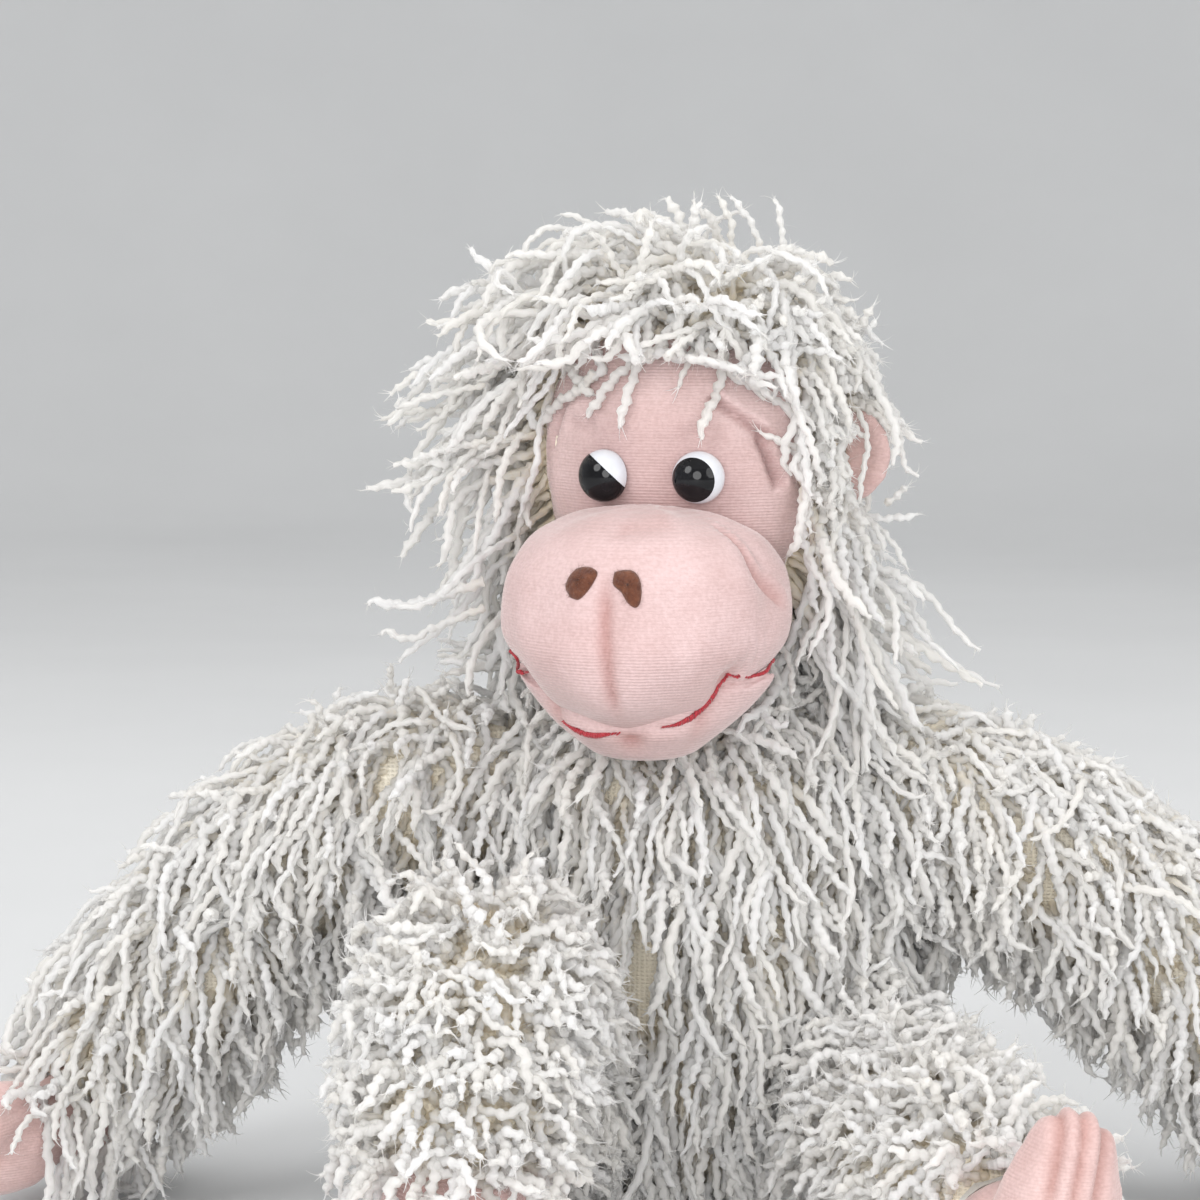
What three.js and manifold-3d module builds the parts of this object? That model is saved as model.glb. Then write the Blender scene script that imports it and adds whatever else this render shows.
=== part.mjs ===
// A seated plush ape: a long-pile fur body, head and limbs, a velour face, hands and feet,
// plastic eyes, and the stuffing and bean bag inside.
// Millimetres, +Z up. The toy faces -Y, so its right side is -X.
// The origin is on the flat underside of the seat, below the axis that the head turns about.
import * as THREE from 'three';
import { mergeVertices } from 'three/addons/utils/BufferGeometryUtils.js';
import Module from 'manifold-3d';

const wasm = await Module();
wasm.setup();

// Clearances and wall thicknesses
const GAP = 0.3;
const FLOOR_CUT = 0.5;
const PILE = 12;
const BACKING = 3;
const VELOUR = 2;
const FELT = 1.4;

// Torso: a pear, wider than it is deep. It is cut flat where it sits.
const SEAT_RADIUS = 58;
const BELLY_RADIUS = 73;
const BELLY_HEIGHT = 56;
const CHEST_RADIUS = 72;
const CHEST_HEIGHT = 120;
const TORSO_HEIGHT = 169;
const BELLY_DEPTH_SHARE = 0.84;
const SHOULDER_DEPTH_SHARE = 0.69;
const TORSO_BACK = 13;
const BEAN_BAG_RADIUS = 42;
const BEAN_BAG_HEIGHT = 34;

// Neck: a ball of stuffing that shows above the torso and turns in the head and the torso
const NECK_RADIUS = 23;
const NECK_RISE = 5;
const HEAD_TURN = 16;

// Head, measured up and forward from the middle of the neck ball. The eyes lie below the
// skull's middle, and the top of the face above it.
const HEAD_PILE = 10;
const SKULL_RADIUS = 50;
const SKULL_HALF_HEIGHT = 55;
const SKULL_SUNK = 10;
const FACE_HALF_WIDTH = 37;
const FACE_TOP_ABOVE = 33;
const MUZZLE_RADIUS = 44.5;
const MUZZLE_FORWARD = 52.5;
const MUZZLE_BOTTOM_UP = -13;
const CHEEK_DROP = 16;
const JAW_RADIUS = 31;
const JAW_FORWARD = 55;
const JAW_BOTTOM_UP = -24;
const JAW_TOP_UP = 14;
const EAR_RADIUS = 16;
const EAR_THICKNESS = 9;
const EAR_SUNK = 2;
const EAR_BACK = 2;
const EAR_SPLAY = 12;
const NOSTRIL_APART = 14;
const NOSTRIL_UP = 32;
const NOSTRIL_WIDTH = 9.5;
const NOSTRIL_HEIGHT = 11;
const NOSTRIL_TILT = 14;

// Mouth: a line of embroidery, its stitches given by their angles from straight ahead
const STITCH_RADIUS = 0.9;
const CORNER_STITCH_RADIUS = 0.55;
const LIP_UP = 3;
const MOUTH_RISE = 16;
const MOUTH_CORNER = 58;
const MOUTH_END = 88;
const STITCHES = [
  { name: 'corner_right', from: -MOUTH_END, to: -MOUTH_CORNER - 4, radius: CORNER_STITCH_RADIUS },
  { name: 'right', from: -MOUTH_CORNER, to: -4, radius: STITCH_RADIUS },
  { name: 'left', from: 10, to: MOUTH_CORNER, radius: STITCH_RADIUS },
  { name: 'corner_left', from: MOUTH_CORNER + 4, to: MOUTH_END, radius: CORNER_STITCH_RADIUS },
];

// Eyes: domes on a stem that a lock washer holds behind the face panel. The pupil lies on
// one side of a plane through the dome, tilted, turned and moved off the middle.
const EYE_DIAMETER = 16;
const EYE_DOME = 7;
const EYE_APART = 30;
const EYES_BELOW = 7;
const EYE_SPLAY = 20;
const STEM_DIAMETER = 4;
const STEM_LENGTH = 12;
const WASHER_DIAMETER = 14;
const WASHER_THICKNESS = 1.6;
const WASHER_PLAY = 1.2;
const PUPILS = {
  right: { tilt: -38, turn: 0, off: 1.5 },
  left: { tilt: -24, turn: 18, off: 4 },
};

// Arms: sewn to a round flat seam on each side of the torso. The route goes from the seam to
// the wrist, in shares of the arm's span, its forward reach and its drop.
const SHOULDER_OUT = 58;
const SHOULDER_BACK = 4;
const SHOULDER_HEIGHT = 130;
const SEAM_RADIUS = 31;
const SEAM_TUCK = 12;
const SEAM_EASE = 1;
const ARM_CLEARANCE = 4;
const ARM_RADIUS = 36;
const ELBOW_RADIUS = 34;
const FOREARM_RADIUS = 33;
const WRIST_RADIUS = 27;
const WRIST_RISE = 3;
const ARM_SPAN = 138;
const ARM_FORWARD = 22;
const ARM_ROUTE_SHARES = [[0.3, 0, 0.03], [0.565, 0.18, 0.26], [0.8, 0.545, 0.64]];
const ARM_DROOP = { right: 0, left: 6 };

// Hands: mittens with a thumb, on a round root that turns in the wrist
const HAND_ROOT_RADIUS = 16;
const HAND_NECK_RADIUS = 13;
const HAND_NECK = 11;
const PALM_RADIUS = 19;
const FINGER_RADIUS = 12;
const THUMB_RADIUS = 8;
const THUMB_LENGTH = 18;
const HAND_LENGTH = 46;
const HAND_AIM = 41;
const HAND_DIP = 9.5;

// Legs: each turns on a round root that sits in the lower front of the torso. The route goes
// from the hip to the ankle, in shares of its outward, forward and upward reach.
const HIP_OUT = 58;
const HIP_FORWARD = 46;
const HIP_RADIUS = 34;
const THIGH_RADIUS = 32;
const KNEE_RADIUS = 33;
const SHIN_RADIUS = 31;
const ANKLE_RADIUS = 28;
const LEGS = {
  right: {
    out: 9, forward: 90, kneeRise: 57, ankleRise: 3, lift: 12, toesUp: false,
    routeShares: [[0.2, 0.245, 0.46], [0.4, 0.58, 1], [0.75, 0.91, 0.63]],
    radii: [THIGH_RADIUS, KNEE_RADIUS, SHIN_RADIUS],
  },
  left: {
    out: 32, forward: 118, kneeRise: 2, ankleRise: 1, lift: 40, toesUp: true,
    routeShares: [[0.31, 0.29, 0], [0.69, 0.63, 1]],
    radii: [THIGH_RADIUS, SHIN_RADIUS],
  },
};

// Feet: soles square to the end of the leg, on a round root that turns in the ankle
const FOOT_ROOT_RADIUS = 22;
const HEEL_RADIUS = 16;
const BALL_OF_FOOT_RADIUS = 17.5;
const TOE_RADIUS = 13;
const FOOT_LENGTH = 78;
const HEEL_SHARE = 0.7;
const TOES_OUT = 0.17;

// A velour root narrows to a rim of fur this share of its radius before its middle, and its
// stuffing fills this share of its width.
const RIM_SHARE = 0.55;
const PLUG_SHARE = 0.5;

// Facets: sides of a round section and rings along it
const BODY_SIDES = 18;
const BALL_DETAIL = 2;
const LIMB_SIDES = 12;
const SMALL_SIDES = 8;
const CAP_RINGS = 3;

const radians = THREE.MathUtils.degToRad;
const FAR = 400;

const fur = { color: 0xf4f0e6, roughness: 0.95 };
const velour = { color: 0xedc6bd, roughness: 0.9 };
const stuffing = { color: 0xf7f7f4, roughness: 1.0 };
const pellets = { color: 0xd9d2bf, roughness: 0.9 };
const felt = { color: 0x6b3322, roughness: 1.0 };
const thread = { color: 0xb0222b, roughness: 0.6 };
const whitePlastic = { color: 0xe9e9ec, roughness: 0.2 };
const blackPlastic = { color: 0x0a0a0c, roughness: 0.12 };

// Turns a closed geometry into a solid: only positions stay, shared vertices are merged,
// and the triangles that collapse at a pole go.
function solid(geometry) {
  const bare = geometry.index ? geometry.clone() : geometry;
  bare.deleteAttribute('normal');
  bare.deleteAttribute('uv');
  const merged = mergeVertices(bare, 1e-3);
  const corners = merged.index.array;
  const kept = [];
  for (let i = 0; i < corners.length; i += 3) {
    const [a, b, c] = [corners[i], corners[i + 1], corners[i + 2]];
    if (a !== b && b !== c && c !== a) {
      kept.push(a, b, c);
    }
  }
  return new wasm.Manifold(new wasm.Mesh({
    numProp: 3,
    vertProperties: new Float32Array(merged.attributes.position.array),
    triVerts: new Uint32Array(kept),
  }));
}

function geometryOf(manifold) {
  const { vertProperties, triVerts, numProp } = manifold.getMesh();
  const positions = new Float32Array((vertProperties.length / numProp) * 3);
  for (let i = 0; i < positions.length / 3; i += 1) {
    positions.set(vertProperties.subarray(i * numProp, i * numProp + 3), i * 3);
  }
  const geometry = new THREE.BufferGeometry();
  geometry.setAttribute('position', new THREE.BufferAttribute(positions, 3));
  geometry.setIndex(new THREE.BufferAttribute(new Uint32Array(triVerts), 1));
  geometry.computeVertexNormals();
  return geometry;
}

function addPiece(group, name, manifold, finish) {
  const material = new THREE.MeshStandardMaterial({ metalness: 0, ...finish });
  const mesh = new THREE.Mesh(geometryOf(manifold), material);
  mesh.name = name;
  group.add(mesh);
}

// A box given by its lowest and highest corners
function block(low, high) {
  const size = high.map((value, i) => value - low[i]);
  const box = new THREE.BoxGeometry(...size);
  box.translate(...low.map((value, i) => value + size[i] / 2));
  return solid(box);
}

// A cylinder from one point to another
function rod(from, to, radius, sides = LIMB_SIDES) {
  const along = to.clone().sub(from);
  const shape = new THREE.CylinderGeometry(radius, radius, along.length(), sides);
  const turn = new THREE.Quaternion().setFromUnitVectors(
    new THREE.Vector3(0, 1, 0), along.normalize());
  shape.applyQuaternion(turn);
  const middle = from.clone().add(to).multiplyScalar(0.5);
  shape.translate(middle.x, middle.y, middle.z);
  return solid(shape);
}

function ball(radius, centre = new THREE.Vector3()) {
  const sphere = new THREE.IcosahedronGeometry(radius, BALL_DETAIL);
  sphere.translate(centre.x, centre.y, centre.z);
  return solid(sphere);
}

// How near a ball's flat facets come to its middle, as a share of its radius
function facetShare() {
  const corner = new THREE.IcosahedronGeometry(1, BALL_DETAIL).attributes.position;
  let nearest = 1;
  for (let i = 0; i < corner.count; i += 3) {
    const [a, b, c] = [0, 1, 2].map((k) => new THREE.Vector3().fromBufferAttribute(corner, i + k));
    const facet = new THREE.Triangle(a, b, c).getPlane(new THREE.Plane());
    nearest = Math.min(nearest, Math.abs(facet.constant));
  }
  return nearest;
}

// The hollow that a ball of this radius turns in: its flat facets clear the ball.
function socket(radius, centre) {
  return ball((radius + GAP) / facetShare(), centre);
}

// A channel that a rod of this radius lies in, clear of it all round
function channel(from, to, radius) {
  return rod(from, to, (radius + GAP) / Math.cos(Math.PI / LIMB_SIDES));
}

// A profile of [radius, height] pairs turned about the vertical axis, both ends on it
function turned(profile, sides = BODY_SIDES) {
  const points = profile.map(([radius, height]) => new THREE.Vector2(radius, height));
  const shape = new THREE.LatheGeometry(points, sides);
  shape.rotateX(Math.PI / 2);
  return shape;
}

// Points along a smooth curve through [radius, height] pairs, moved inward by inset
function smoothProfile(pairs, steps, inset = 0) {
  const curve = new THREE.SplineCurve(pairs.map(([r, z]) => new THREE.Vector2(r, z)));
  const profile = [];
  for (let i = 0; i <= steps; i += 1) {
    const point = curve.getPoint(i / steps);
    const along = curve.getTangent(i / steps);
    const radius = Math.max(point.x - along.y * inset, 0);
    const onAxis = i === 0 || i === steps;
    profile.push([onAxis ? 0 : radius, point.y + along.x * inset]);
  }
  return profile;
}

// A rounded limb: a lathe whose rings are moved onto a curve. Each station is
// [x, y, z, radius]; both ends close as half balls round the first and last station.
function limb(stations, across, { inset = 0, rings = 6, sides = LIMB_SIDES } = {}) {
  const centres = new THREE.CatmullRomCurve3(
    stations.map(([x, y, z]) => new THREE.Vector3(x, y, z)));
  const radii = new THREE.CatmullRomCurve3(
    stations.map(([, , , radius]) => new THREE.Vector3(radius - inset, 0, 0)));
  const frames = [];
  const addRing = (t, radius, beyond) => {
    const tangent = centres.getTangent(t);
    const centre = centres.getPoint(t).addScaledVector(tangent, beyond);
    frames.push({ tangent, centre, radius });
  };
  for (let i = 0; i < CAP_RINGS; i += 1) {
    const angle = (i / CAP_RINGS) * (Math.PI / 2);
    const radius = radii.getPoint(0).x;
    addRing(0, radius * Math.sin(angle), -radius * Math.cos(angle));
  }
  for (let i = 0; i <= rings; i += 1) {
    addRing(i / rings, radii.getPoint(i / rings).x, 0);
  }
  for (let i = CAP_RINGS - 1; i >= 0; i -= 1) {
    const angle = (i / CAP_RINGS) * (Math.PI / 2);
    const radius = radii.getPoint(1).x;
    addRing(1, radius * Math.sin(angle), radius * Math.cos(angle));
  }
  const profile = frames.map(({ radius }, i) => new THREE.Vector2(radius, i));
  const shape = new THREE.LatheGeometry(profile, sides);
  const position = shape.attributes.position;
  for (let i = 0; i < position.count; i += 1) {
    const { tangent, centre } = frames[Math.round(position.getY(i))];
    const side = new THREE.Vector3().crossVectors(across, tangent).normalize();
    const front = new THREE.Vector3().crossVectors(side, tangent);
    const point = centre.clone()
      .addScaledVector(front, position.getZ(i))
      .addScaledVector(side, position.getX(i));
    position.setXYZ(i, point.x, point.y, point.z);
  }
  return solid(shape);
}

// The lowest part of a form is cut flat where the toy rests on it.
function cutAtFloor(manifold, floor) {
  return manifold.subtract(block([-FAR, -FAR, floor - FAR], [FAR, FAR, floor]));
}

const toy = new THREE.Group();
const right = new THREE.Vector3(1, 0, 0);
const up = new THREE.Vector3(0, 0, 1);
const sides = [
  { name: 'right', sign: -1 },
  { name: 'left', sign: 1 },
];

// Where the limbs and the neck meet the torso
const neckCentre = new THREE.Vector3(0, 0, TORSO_HEIGHT + NECK_RISE);
const hipHeight = HIP_RADIUS - FLOOR_CUT;

function shoulderCentre(sign) {
  return new THREE.Vector3(sign * SHOULDER_OUT, SHOULDER_BACK, SHOULDER_HEIGHT);
}

function hipCentre(sign) {
  return new THREE.Vector3(sign * HIP_OUT, -HIP_FORWARD, hipHeight);
}

// A leg's middle line from the hip to the ankle, with its radii
function legStations({ name, sign }) {
  const { out, forward, kneeRise, ankleRise, routeShares, radii } = LEGS[name];
  const along = routeShares.map(([x, y, z], i) => [
    sign * x * out, -y * forward, z * kneeRise, radii[i]]);
  const ankleUp = ANKLE_RADIUS + ankleRise - hipHeight;
  return [[0, 0, 0, HIP_RADIUS], ...along, [sign * out, -forward, ankleUp, ANKLE_RADIUS]];
}

// The torso's outer form, or the space inside its cover
function torsoForm(inset) {
  const seatCorner = 10;
  const slope = TORSO_HEIGHT - CHEST_HEIGHT;
  const pairs = [
    [0, -FLOOR_CUT],
    [SEAT_RADIUS * 0.6, -FLOOR_CUT],
    [SEAT_RADIUS + seatCorner * 0.6, seatCorner],
    [BELLY_RADIUS, BELLY_HEIGHT],
    [CHEST_RADIUS, CHEST_HEIGHT],
    [CHEST_RADIUS * 0.96, CHEST_HEIGHT + slope * 0.5],
    [CHEST_RADIUS * 0.68, CHEST_HEIGHT + slope * 0.84],
    [NECK_RADIUS, TORSO_HEIGHT - 1],
    [0, TORSO_HEIGHT],
  ];
  const shape = turned(smoothProfile(pairs, 11, inset));
  const position = shape.attributes.position;
  for (let i = 0; i < position.count; i += 1) {
    const rise = THREE.MathUtils.smoothstep(position.getZ(i), BELLY_HEIGHT, TORSO_HEIGHT);
    const share = THREE.MathUtils.lerp(BELLY_DEPTH_SHARE, SHOULDER_DEPTH_SHARE, rise);
    position.setY(i, TORSO_BACK + position.getY(i) * share);
  }
  return cutAtFloor(solid(shape), 0);
}

// The room that a thigh needs in the torso: its round root, and its line at rest and lifted
function thighSeat(side, extra) {
  const hip = hipCentre(side.sign);
  const [x, y, z] = legStations(side)[1];
  const thigh = new THREE.Vector3(x, y, z).multiplyScalar(2);
  const radius = HIP_RADIUS + extra;
  const lifted = thigh.clone().applyAxisAngle(right, -radians(LEGS[side.name].lift));
  return socket(radius, hip)
    .add(channel(hip, thigh.add(hip), radius))
    .add(channel(hip, lifted.add(hip), radius));
}

// Everything that is taken out of the torso where a limb or the neck sits, grown by extra
function torsoSeats(extra) {
  let seats = socket(NECK_RADIUS + extra, neckCentre);
  for (const side of sides) {
    const seam = shoulderCentre(side.sign);
    seam.x -= side.sign * extra;
    const outside = seam.clone();
    outside.x = side.sign * FAR;
    seats = seats.add(rod(seam, outside, ARM_RADIUS + ARM_CLEARANCE + extra, BODY_SIDES));
    seats = seats.add(thighSeat(side, extra));
  }
  return seats;
}

// The bag of pellets: a dome on the floor of the torso's cover
function bagForm(grow) {
  const dome = new THREE.SphereGeometry(1, BODY_SIDES, SMALL_SIDES);
  dome.rotateX(Math.PI / 2);
  dome.scale(BEAN_BAG_RADIUS + grow, BEAN_BAG_RADIUS + grow, BEAN_BAG_HEIGHT + grow);
  dome.translate(0, TORSO_BACK, PILE - FLOOR_CUT + GAP);
  return solid(dome);
}

function buildTorso() {
  const outer = torsoForm(0).subtract(torsoSeats(0));
  const inner = torsoForm(PILE).subtract(torsoSeats(BACKING));
  const above = neckCentre.clone().addScaledVector(up, NECK_RADIUS);
  const below = neckCentre.clone().setZ(CHEST_HEIGHT);
  const holeRadius = NECK_RADIUS * 0.8;
  const cover = outer.subtract(inner).subtract(rod(below, above, holeRadius));
  addPiece(toy, 'body_cover', cover, fur);

  const fillForm = torsoForm(PILE + GAP).subtract(torsoSeats(BACKING + GAP));
  const plug = rod(below, above, holeRadius - GAP).intersect(outer);
  addPiece(toy, 'body_stuffing', fillForm.add(plug).subtract(bagForm(GAP)), stuffing);
  addPiece(toy, 'bean_bag', bagForm(0).intersect(fillForm), pellets);
}

// Head pieces, in the frame of the head: origin in the neck ball, facing -Y
const skullUp = NECK_RADIUS + SKULL_HALF_HEIGHT - SKULL_SUNK;
const eyeRadius = EYE_DIAMETER / 2;
const eyeUp = skullUp - EYES_BELOW;
const muzzleTopUp = eyeUp - eyeRadius - GAP;

function skullForm(grow) {
  const sphere = new THREE.SphereGeometry(1, BODY_SIDES, BODY_SIDES / 2);
  sphere.rotateX(Math.PI / 2);
  sphere.scale(SKULL_RADIUS + grow, SKULL_RADIUS + grow, SKULL_HALF_HEIGHT + grow);
  sphere.translate(0, 0, skullUp);
  return solid(sphere);
}

// The fur hood's outside: a bell that is fullest at the cheeks
function hoodForm() {
  const top = skullUp + SKULL_HALF_HEIGHT + HEAD_PILE + 2;
  const bottom = skullUp - SKULL_HALF_HEIGHT - HEAD_PILE / 2;
  const full = SKULL_RADIUS + HEAD_PILE;
  const pairs = [
    [0, bottom],
    [NECK_RADIUS * 1.3, bottom + 1],
    [full, bottom + SKULL_HALF_HEIGHT * 0.4],
    [full + 2, skullUp - SKULL_HALF_HEIGHT * 0.22],
    [full, skullUp + SKULL_HALF_HEIGHT * 0.15],
    [full * 0.86, skullUp + SKULL_HALF_HEIGHT * 0.62],
    [full * 0.46, top - 5],
    [0, top],
  ];
  return solid(turned(smoothProfile(pairs, 11)));
}

// The opening of the hood, a flat outline pushed forward through it: it follows the cheeks
// beside the muzzle and arches over the eyes.
function faceOpening(grow) {
  const half = FACE_HALF_WIDTH + grow;
  const wide = MUZZLE_RADIUS * 0.93 + grow;
  const top = skullUp + FACE_TOP_ABOVE + grow;
  const cheek = muzzleTopUp - CHEEK_DROP;
  const temple = muzzleTopUp + 2;
  const arch = top - half * 0.7;
  const outline = new THREE.Shape();
  outline.moveTo(-wide, -FAR);
  outline.lineTo(-wide, cheek);
  outline.lineTo(-half, temple);
  outline.lineTo(-half, arch);
  outline.quadraticCurveTo(-half, top, 0, top);
  outline.quadraticCurveTo(half, top, half, arch);
  outline.lineTo(half, temple);
  outline.lineTo(wide, cheek);
  outline.lineTo(wide, -FAR);
  const prism = new THREE.ExtrudeGeometry(outline, {
    depth: FAR, bevelEnabled: false, curveSegments: 5 });
  prism.rotateX(Math.PI / 2);
  return solid(prism);
}

// The muzzle's profile, [radius, height], from the lip to the bridge of the nose
function muzzlePairs(grow) {
  const height = muzzleTopUp - MUZZLE_BOTTOM_UP;
  const at = (share) => MUZZLE_BOTTOM_UP + height * share;
  const full = MUZZLE_RADIUS + grow;
  return [
    [0, at(0) - grow],
    [full * 0.42, at(0.03) - grow],
    [full * 0.72, at(0.2)],
    [full * 0.96, at(0.38)],
    [full, at(0.55)],
    [full * 0.9, at(0.78)],
    [full * 0.6, at(0.94) + grow],
    [0, at(1) + grow],
  ];
}

function lobe(pairs, forward, steps, around) {
  const shape = turned(smoothProfile(pairs, steps), around);
  shape.translate(0, -forward, 0);
  return solid(shape);
}

function muzzleForm(grow) {
  return lobe(muzzlePairs(grow), MUZZLE_FORWARD, 9, BODY_SIDES);
}

function jawForm(grow) {
  const height = JAW_TOP_UP - JAW_BOTTOM_UP;
  const full = JAW_RADIUS + grow;
  const pairs = [
    [0, JAW_BOTTOM_UP - grow],
    [full * 0.55, JAW_BOTTOM_UP + height * 0.06 - grow],
    [full * 0.95, JAW_BOTTOM_UP + height * 0.4],
    [full, JAW_BOTTOM_UP + height * 0.7],
    [full * 0.6, JAW_TOP_UP + grow],
    [0, JAW_TOP_UP + grow],
  ];
  return lobe(pairs, JAW_FORWARD, 6, SMALL_SIDES * 2);
}

// A point off the muzzle by a distance, at its angle from straight ahead and its height
function onMuzzle(angle, height, off) {
  const curve = new THREE.SplineCurve(
    muzzlePairs(0).map(([r, z]) => new THREE.Vector2(r, z)));
  const samples = 200;
  let nearest = curve.getPoint(0);
  for (let i = 1; i <= samples; i += 1) {
    const point = curve.getPoint(i / samples);
    if (Math.abs(point.y - height) < Math.abs(nearest.y - height)) {
      nearest = point;
    }
  }
  const out = nearest.x + off;
  return new THREE.Vector3(
    out * Math.sin(angle), -MUZZLE_FORWARD - out * Math.cos(angle), height);
}

// The mouth line rises from the middle of the lip to the corners of the mouth.
function mouthPoint(angle) {
  const share = Math.min(Math.abs(angle) / MOUTH_CORNER, 1);
  const height = MUZZLE_BOTTOM_UP + LIP_UP + MOUTH_RISE * share * share;
  return onMuzzle(radians(angle), height, STITCH_RADIUS + GAP);
}

function stitchForm({ from, to, radius }, grow) {
  const points = [];
  const last = 6;
  for (let i = 0; i <= last; i += 1) {
    points.push(mouthPoint(THREE.MathUtils.lerp(from, to, i / last)));
  }
  const section = new THREE.Shape();
  section.absarc(0, 0, radius + grow, 0, Math.PI * 2);
  return solid(new THREE.ExtrudeGeometry(section, {
    steps: last + 2,
    curveSegments: 3,
    bevelEnabled: false,
    extrudePath: new THREE.CatmullRomCurve3(points),
  }));
}

// Frame of one eye: its seat on the face panel and the way it looks
function eyeFrame(sign) {
  const lateral = EYE_APART / 2;
  const seat = new THREE.Vector3(
    sign * lateral, -Math.sqrt(SKULL_RADIUS ** 2 - lateral ** 2), eyeUp);
  const look = new THREE.Vector3(0, -1, 0).applyAxisAngle(up, sign * radians(EYE_SPLAY));
  return { seat, look };
}

function eyeForm(sign) {
  const { seat, look } = eyeFrame(sign);
  const dome = new THREE.SphereGeometry(1, SMALL_SIDES * 2, SMALL_SIDES);
  dome.scale(eyeRadius, EYE_DOME, eyeRadius);
  const turn = new THREE.Quaternion().setFromUnitVectors(new THREE.Vector3(0, -1, 0), look);
  dome.applyQuaternion(turn);
  dome.translate(seat.x, seat.y, seat.z);
  return solid(dome);
}

function stemForm(sign, grow) {
  const { seat, look } = eyeFrame(sign);
  const inner = seat.clone().addScaledVector(look, -STEM_LENGTH - grow);
  const outer = seat.clone().addScaledVector(look, EYE_DOME / 2);
  return rod(inner, outer, STEM_DIAMETER / 2 + grow, SMALL_SIDES);
}

function washerForm(sign, grow) {
  const { seat, look } = eyeFrame(sign);
  const front = seat.clone().addScaledVector(look, -VELOUR - WASHER_PLAY - GAP + grow);
  const back = front.clone().addScaledVector(look, -WASHER_THICKNESS - grow * 2);
  return rod(back, front, WASHER_DIAMETER / 2 + grow, SMALL_SIDES * 2);
}

// The half of space that holds the dark part of an eye, on the toy's right
function pupilSide({ name, sign }, shift) {
  const { seat } = eyeFrame(sign);
  const { tilt, turn, off } = PUPILS[name];
  const box = new THREE.BoxGeometry(FAR, FAR, FAR);
  box.translate(-FAR / 2 + shift, 0, 0);
  box.rotateY(radians(tilt));
  box.rotateZ(radians(turn));
  box.translate(seat.x + off, seat.y, seat.z);
  return solid(box);
}

function earForm(sign, grow) {
  const disc = new THREE.SphereGeometry(1, LIMB_SIDES, SMALL_SIDES);
  disc.scale(EAR_RADIUS + grow, EAR_THICKNESS / 2 + grow, EAR_RADIUS + grow);
  disc.rotateZ(-sign * radians(EAR_SPLAY));
  disc.translate(sign * (SKULL_RADIUS - EAR_SUNK), EAR_BACK, skullUp - EAR_SUNK);
  return solid(disc);
}

function nostrilForm(sign) {
  const angle = sign * Math.asin(NOSTRIL_APART / 2 / MUZZLE_RADIUS);
  const seat = onMuzzle(angle, NOSTRIL_UP, 0);
  const patch = new THREE.SphereGeometry(1, SMALL_SIDES, SMALL_SIDES - 2);
  patch.scale(NOSTRIL_WIDTH / 2, FELT + GAP, NOSTRIL_HEIGHT / 2);
  patch.rotateY(sign * radians(NOSTRIL_TILT));
  patch.translate(seat.x, seat.y, seat.z);
  return solid(patch).subtract(muzzleForm(GAP));
}

function buildHood(head) {
  let hood = hoodForm()
    .subtract(skullForm(GAP))
    .subtract(faceOpening(0))
    .subtract(muzzleForm(GAP))
    .subtract(jawForm(GAP))
    .subtract(socket(NECK_RADIUS));
  for (const { name, sign } of sides) {
    hood = hood.subtract(earForm(sign, GAP));
    addPiece(head, `ear_${name}`, earForm(sign, 0).subtract(skullForm(GAP)), velour);
  }
  addPiece(head, 'head_cover', hood, fur);
}

// The velour over the upper face, with the holes that the eye stems pass through
function buildFace(head) {
  const panelEdge = 3;
  let panel = skullForm(0)
    .subtract(skullForm(-VELOUR))
    .intersect(faceOpening(panelEdge))
    .subtract(block([-FAR, -FAR, -FAR], [FAR, FAR, JAW_TOP_UP]))
    .subtract(socket(NECK_RADIUS));
  let fill = skullForm(-VELOUR - GAP).subtract(socket(NECK_RADIUS));
  for (const { sign } of sides) {
    panel = panel.subtract(stemForm(sign, GAP)).subtract(earForm(sign, GAP));
    fill = fill.subtract(stemForm(sign, GAP)).subtract(washerForm(sign, GAP));
  }
  addPiece(head, 'face_panel', panel, velour);
  addPiece(head, 'head_stuffing', fill, stuffing);
}

// The muzzle over the jaw, each a velour lobe with its own stuffing, and the mouth between
function buildMuzzle(head) {
  const behind = skullForm(GAP).add(socket(NECK_RADIUS));
  const muzzle = muzzleForm(0).subtract(muzzleForm(-VELOUR)).subtract(behind);
  addPiece(head, 'muzzle_cover', muzzle, velour);
  addPiece(head, 'muzzle_stuffing', muzzleForm(-VELOUR - GAP).subtract(behind), stuffing);

  let room = muzzleForm(GAP).add(behind);
  for (const stitch of STITCHES) {
    room = room.add(stitchForm(stitch, GAP));
    const seated = stitchForm(stitch, 0).subtract(muzzleForm(GAP / 2));
    addPiece(head, `mouth_stitch_${stitch.name}`, seated, thread);
  }
  const jaw = jawForm(0).subtract(jawForm(-VELOUR)).subtract(room);
  addPiece(head, 'jaw_cover', jaw, velour);
  addPiece(head, 'jaw_stuffing', jawForm(-VELOUR - GAP).subtract(room), stuffing);
  for (const { name, sign } of sides) {
    addPiece(head, `nostril_${name}`, nostrilForm(sign), felt);
  }
}

function buildEye(head, side) {
  const { name, sign } = side;
  const dome = eyeForm(sign).subtract(skullForm(GAP)).subtract(stemForm(sign, GAP));
  const washer = washerForm(sign, 0)
    .subtract(stemForm(sign, GAP))
    .intersect(skullForm(-VELOUR - GAP));
  addPiece(head, `eye_white_${name}`, dome.subtract(pupilSide(side, GAP)), whitePlastic);
  addPiece(head, `eye_pupil_${name}`, dome.intersect(pupilSide(side, 0)), blackPlastic);
  addPiece(head, `eye_stem_${name}`, stemForm(sign, 0), whitePlastic);
  addPiece(head, `eye_washer_${name}`, washer, whitePlastic);
}

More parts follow.
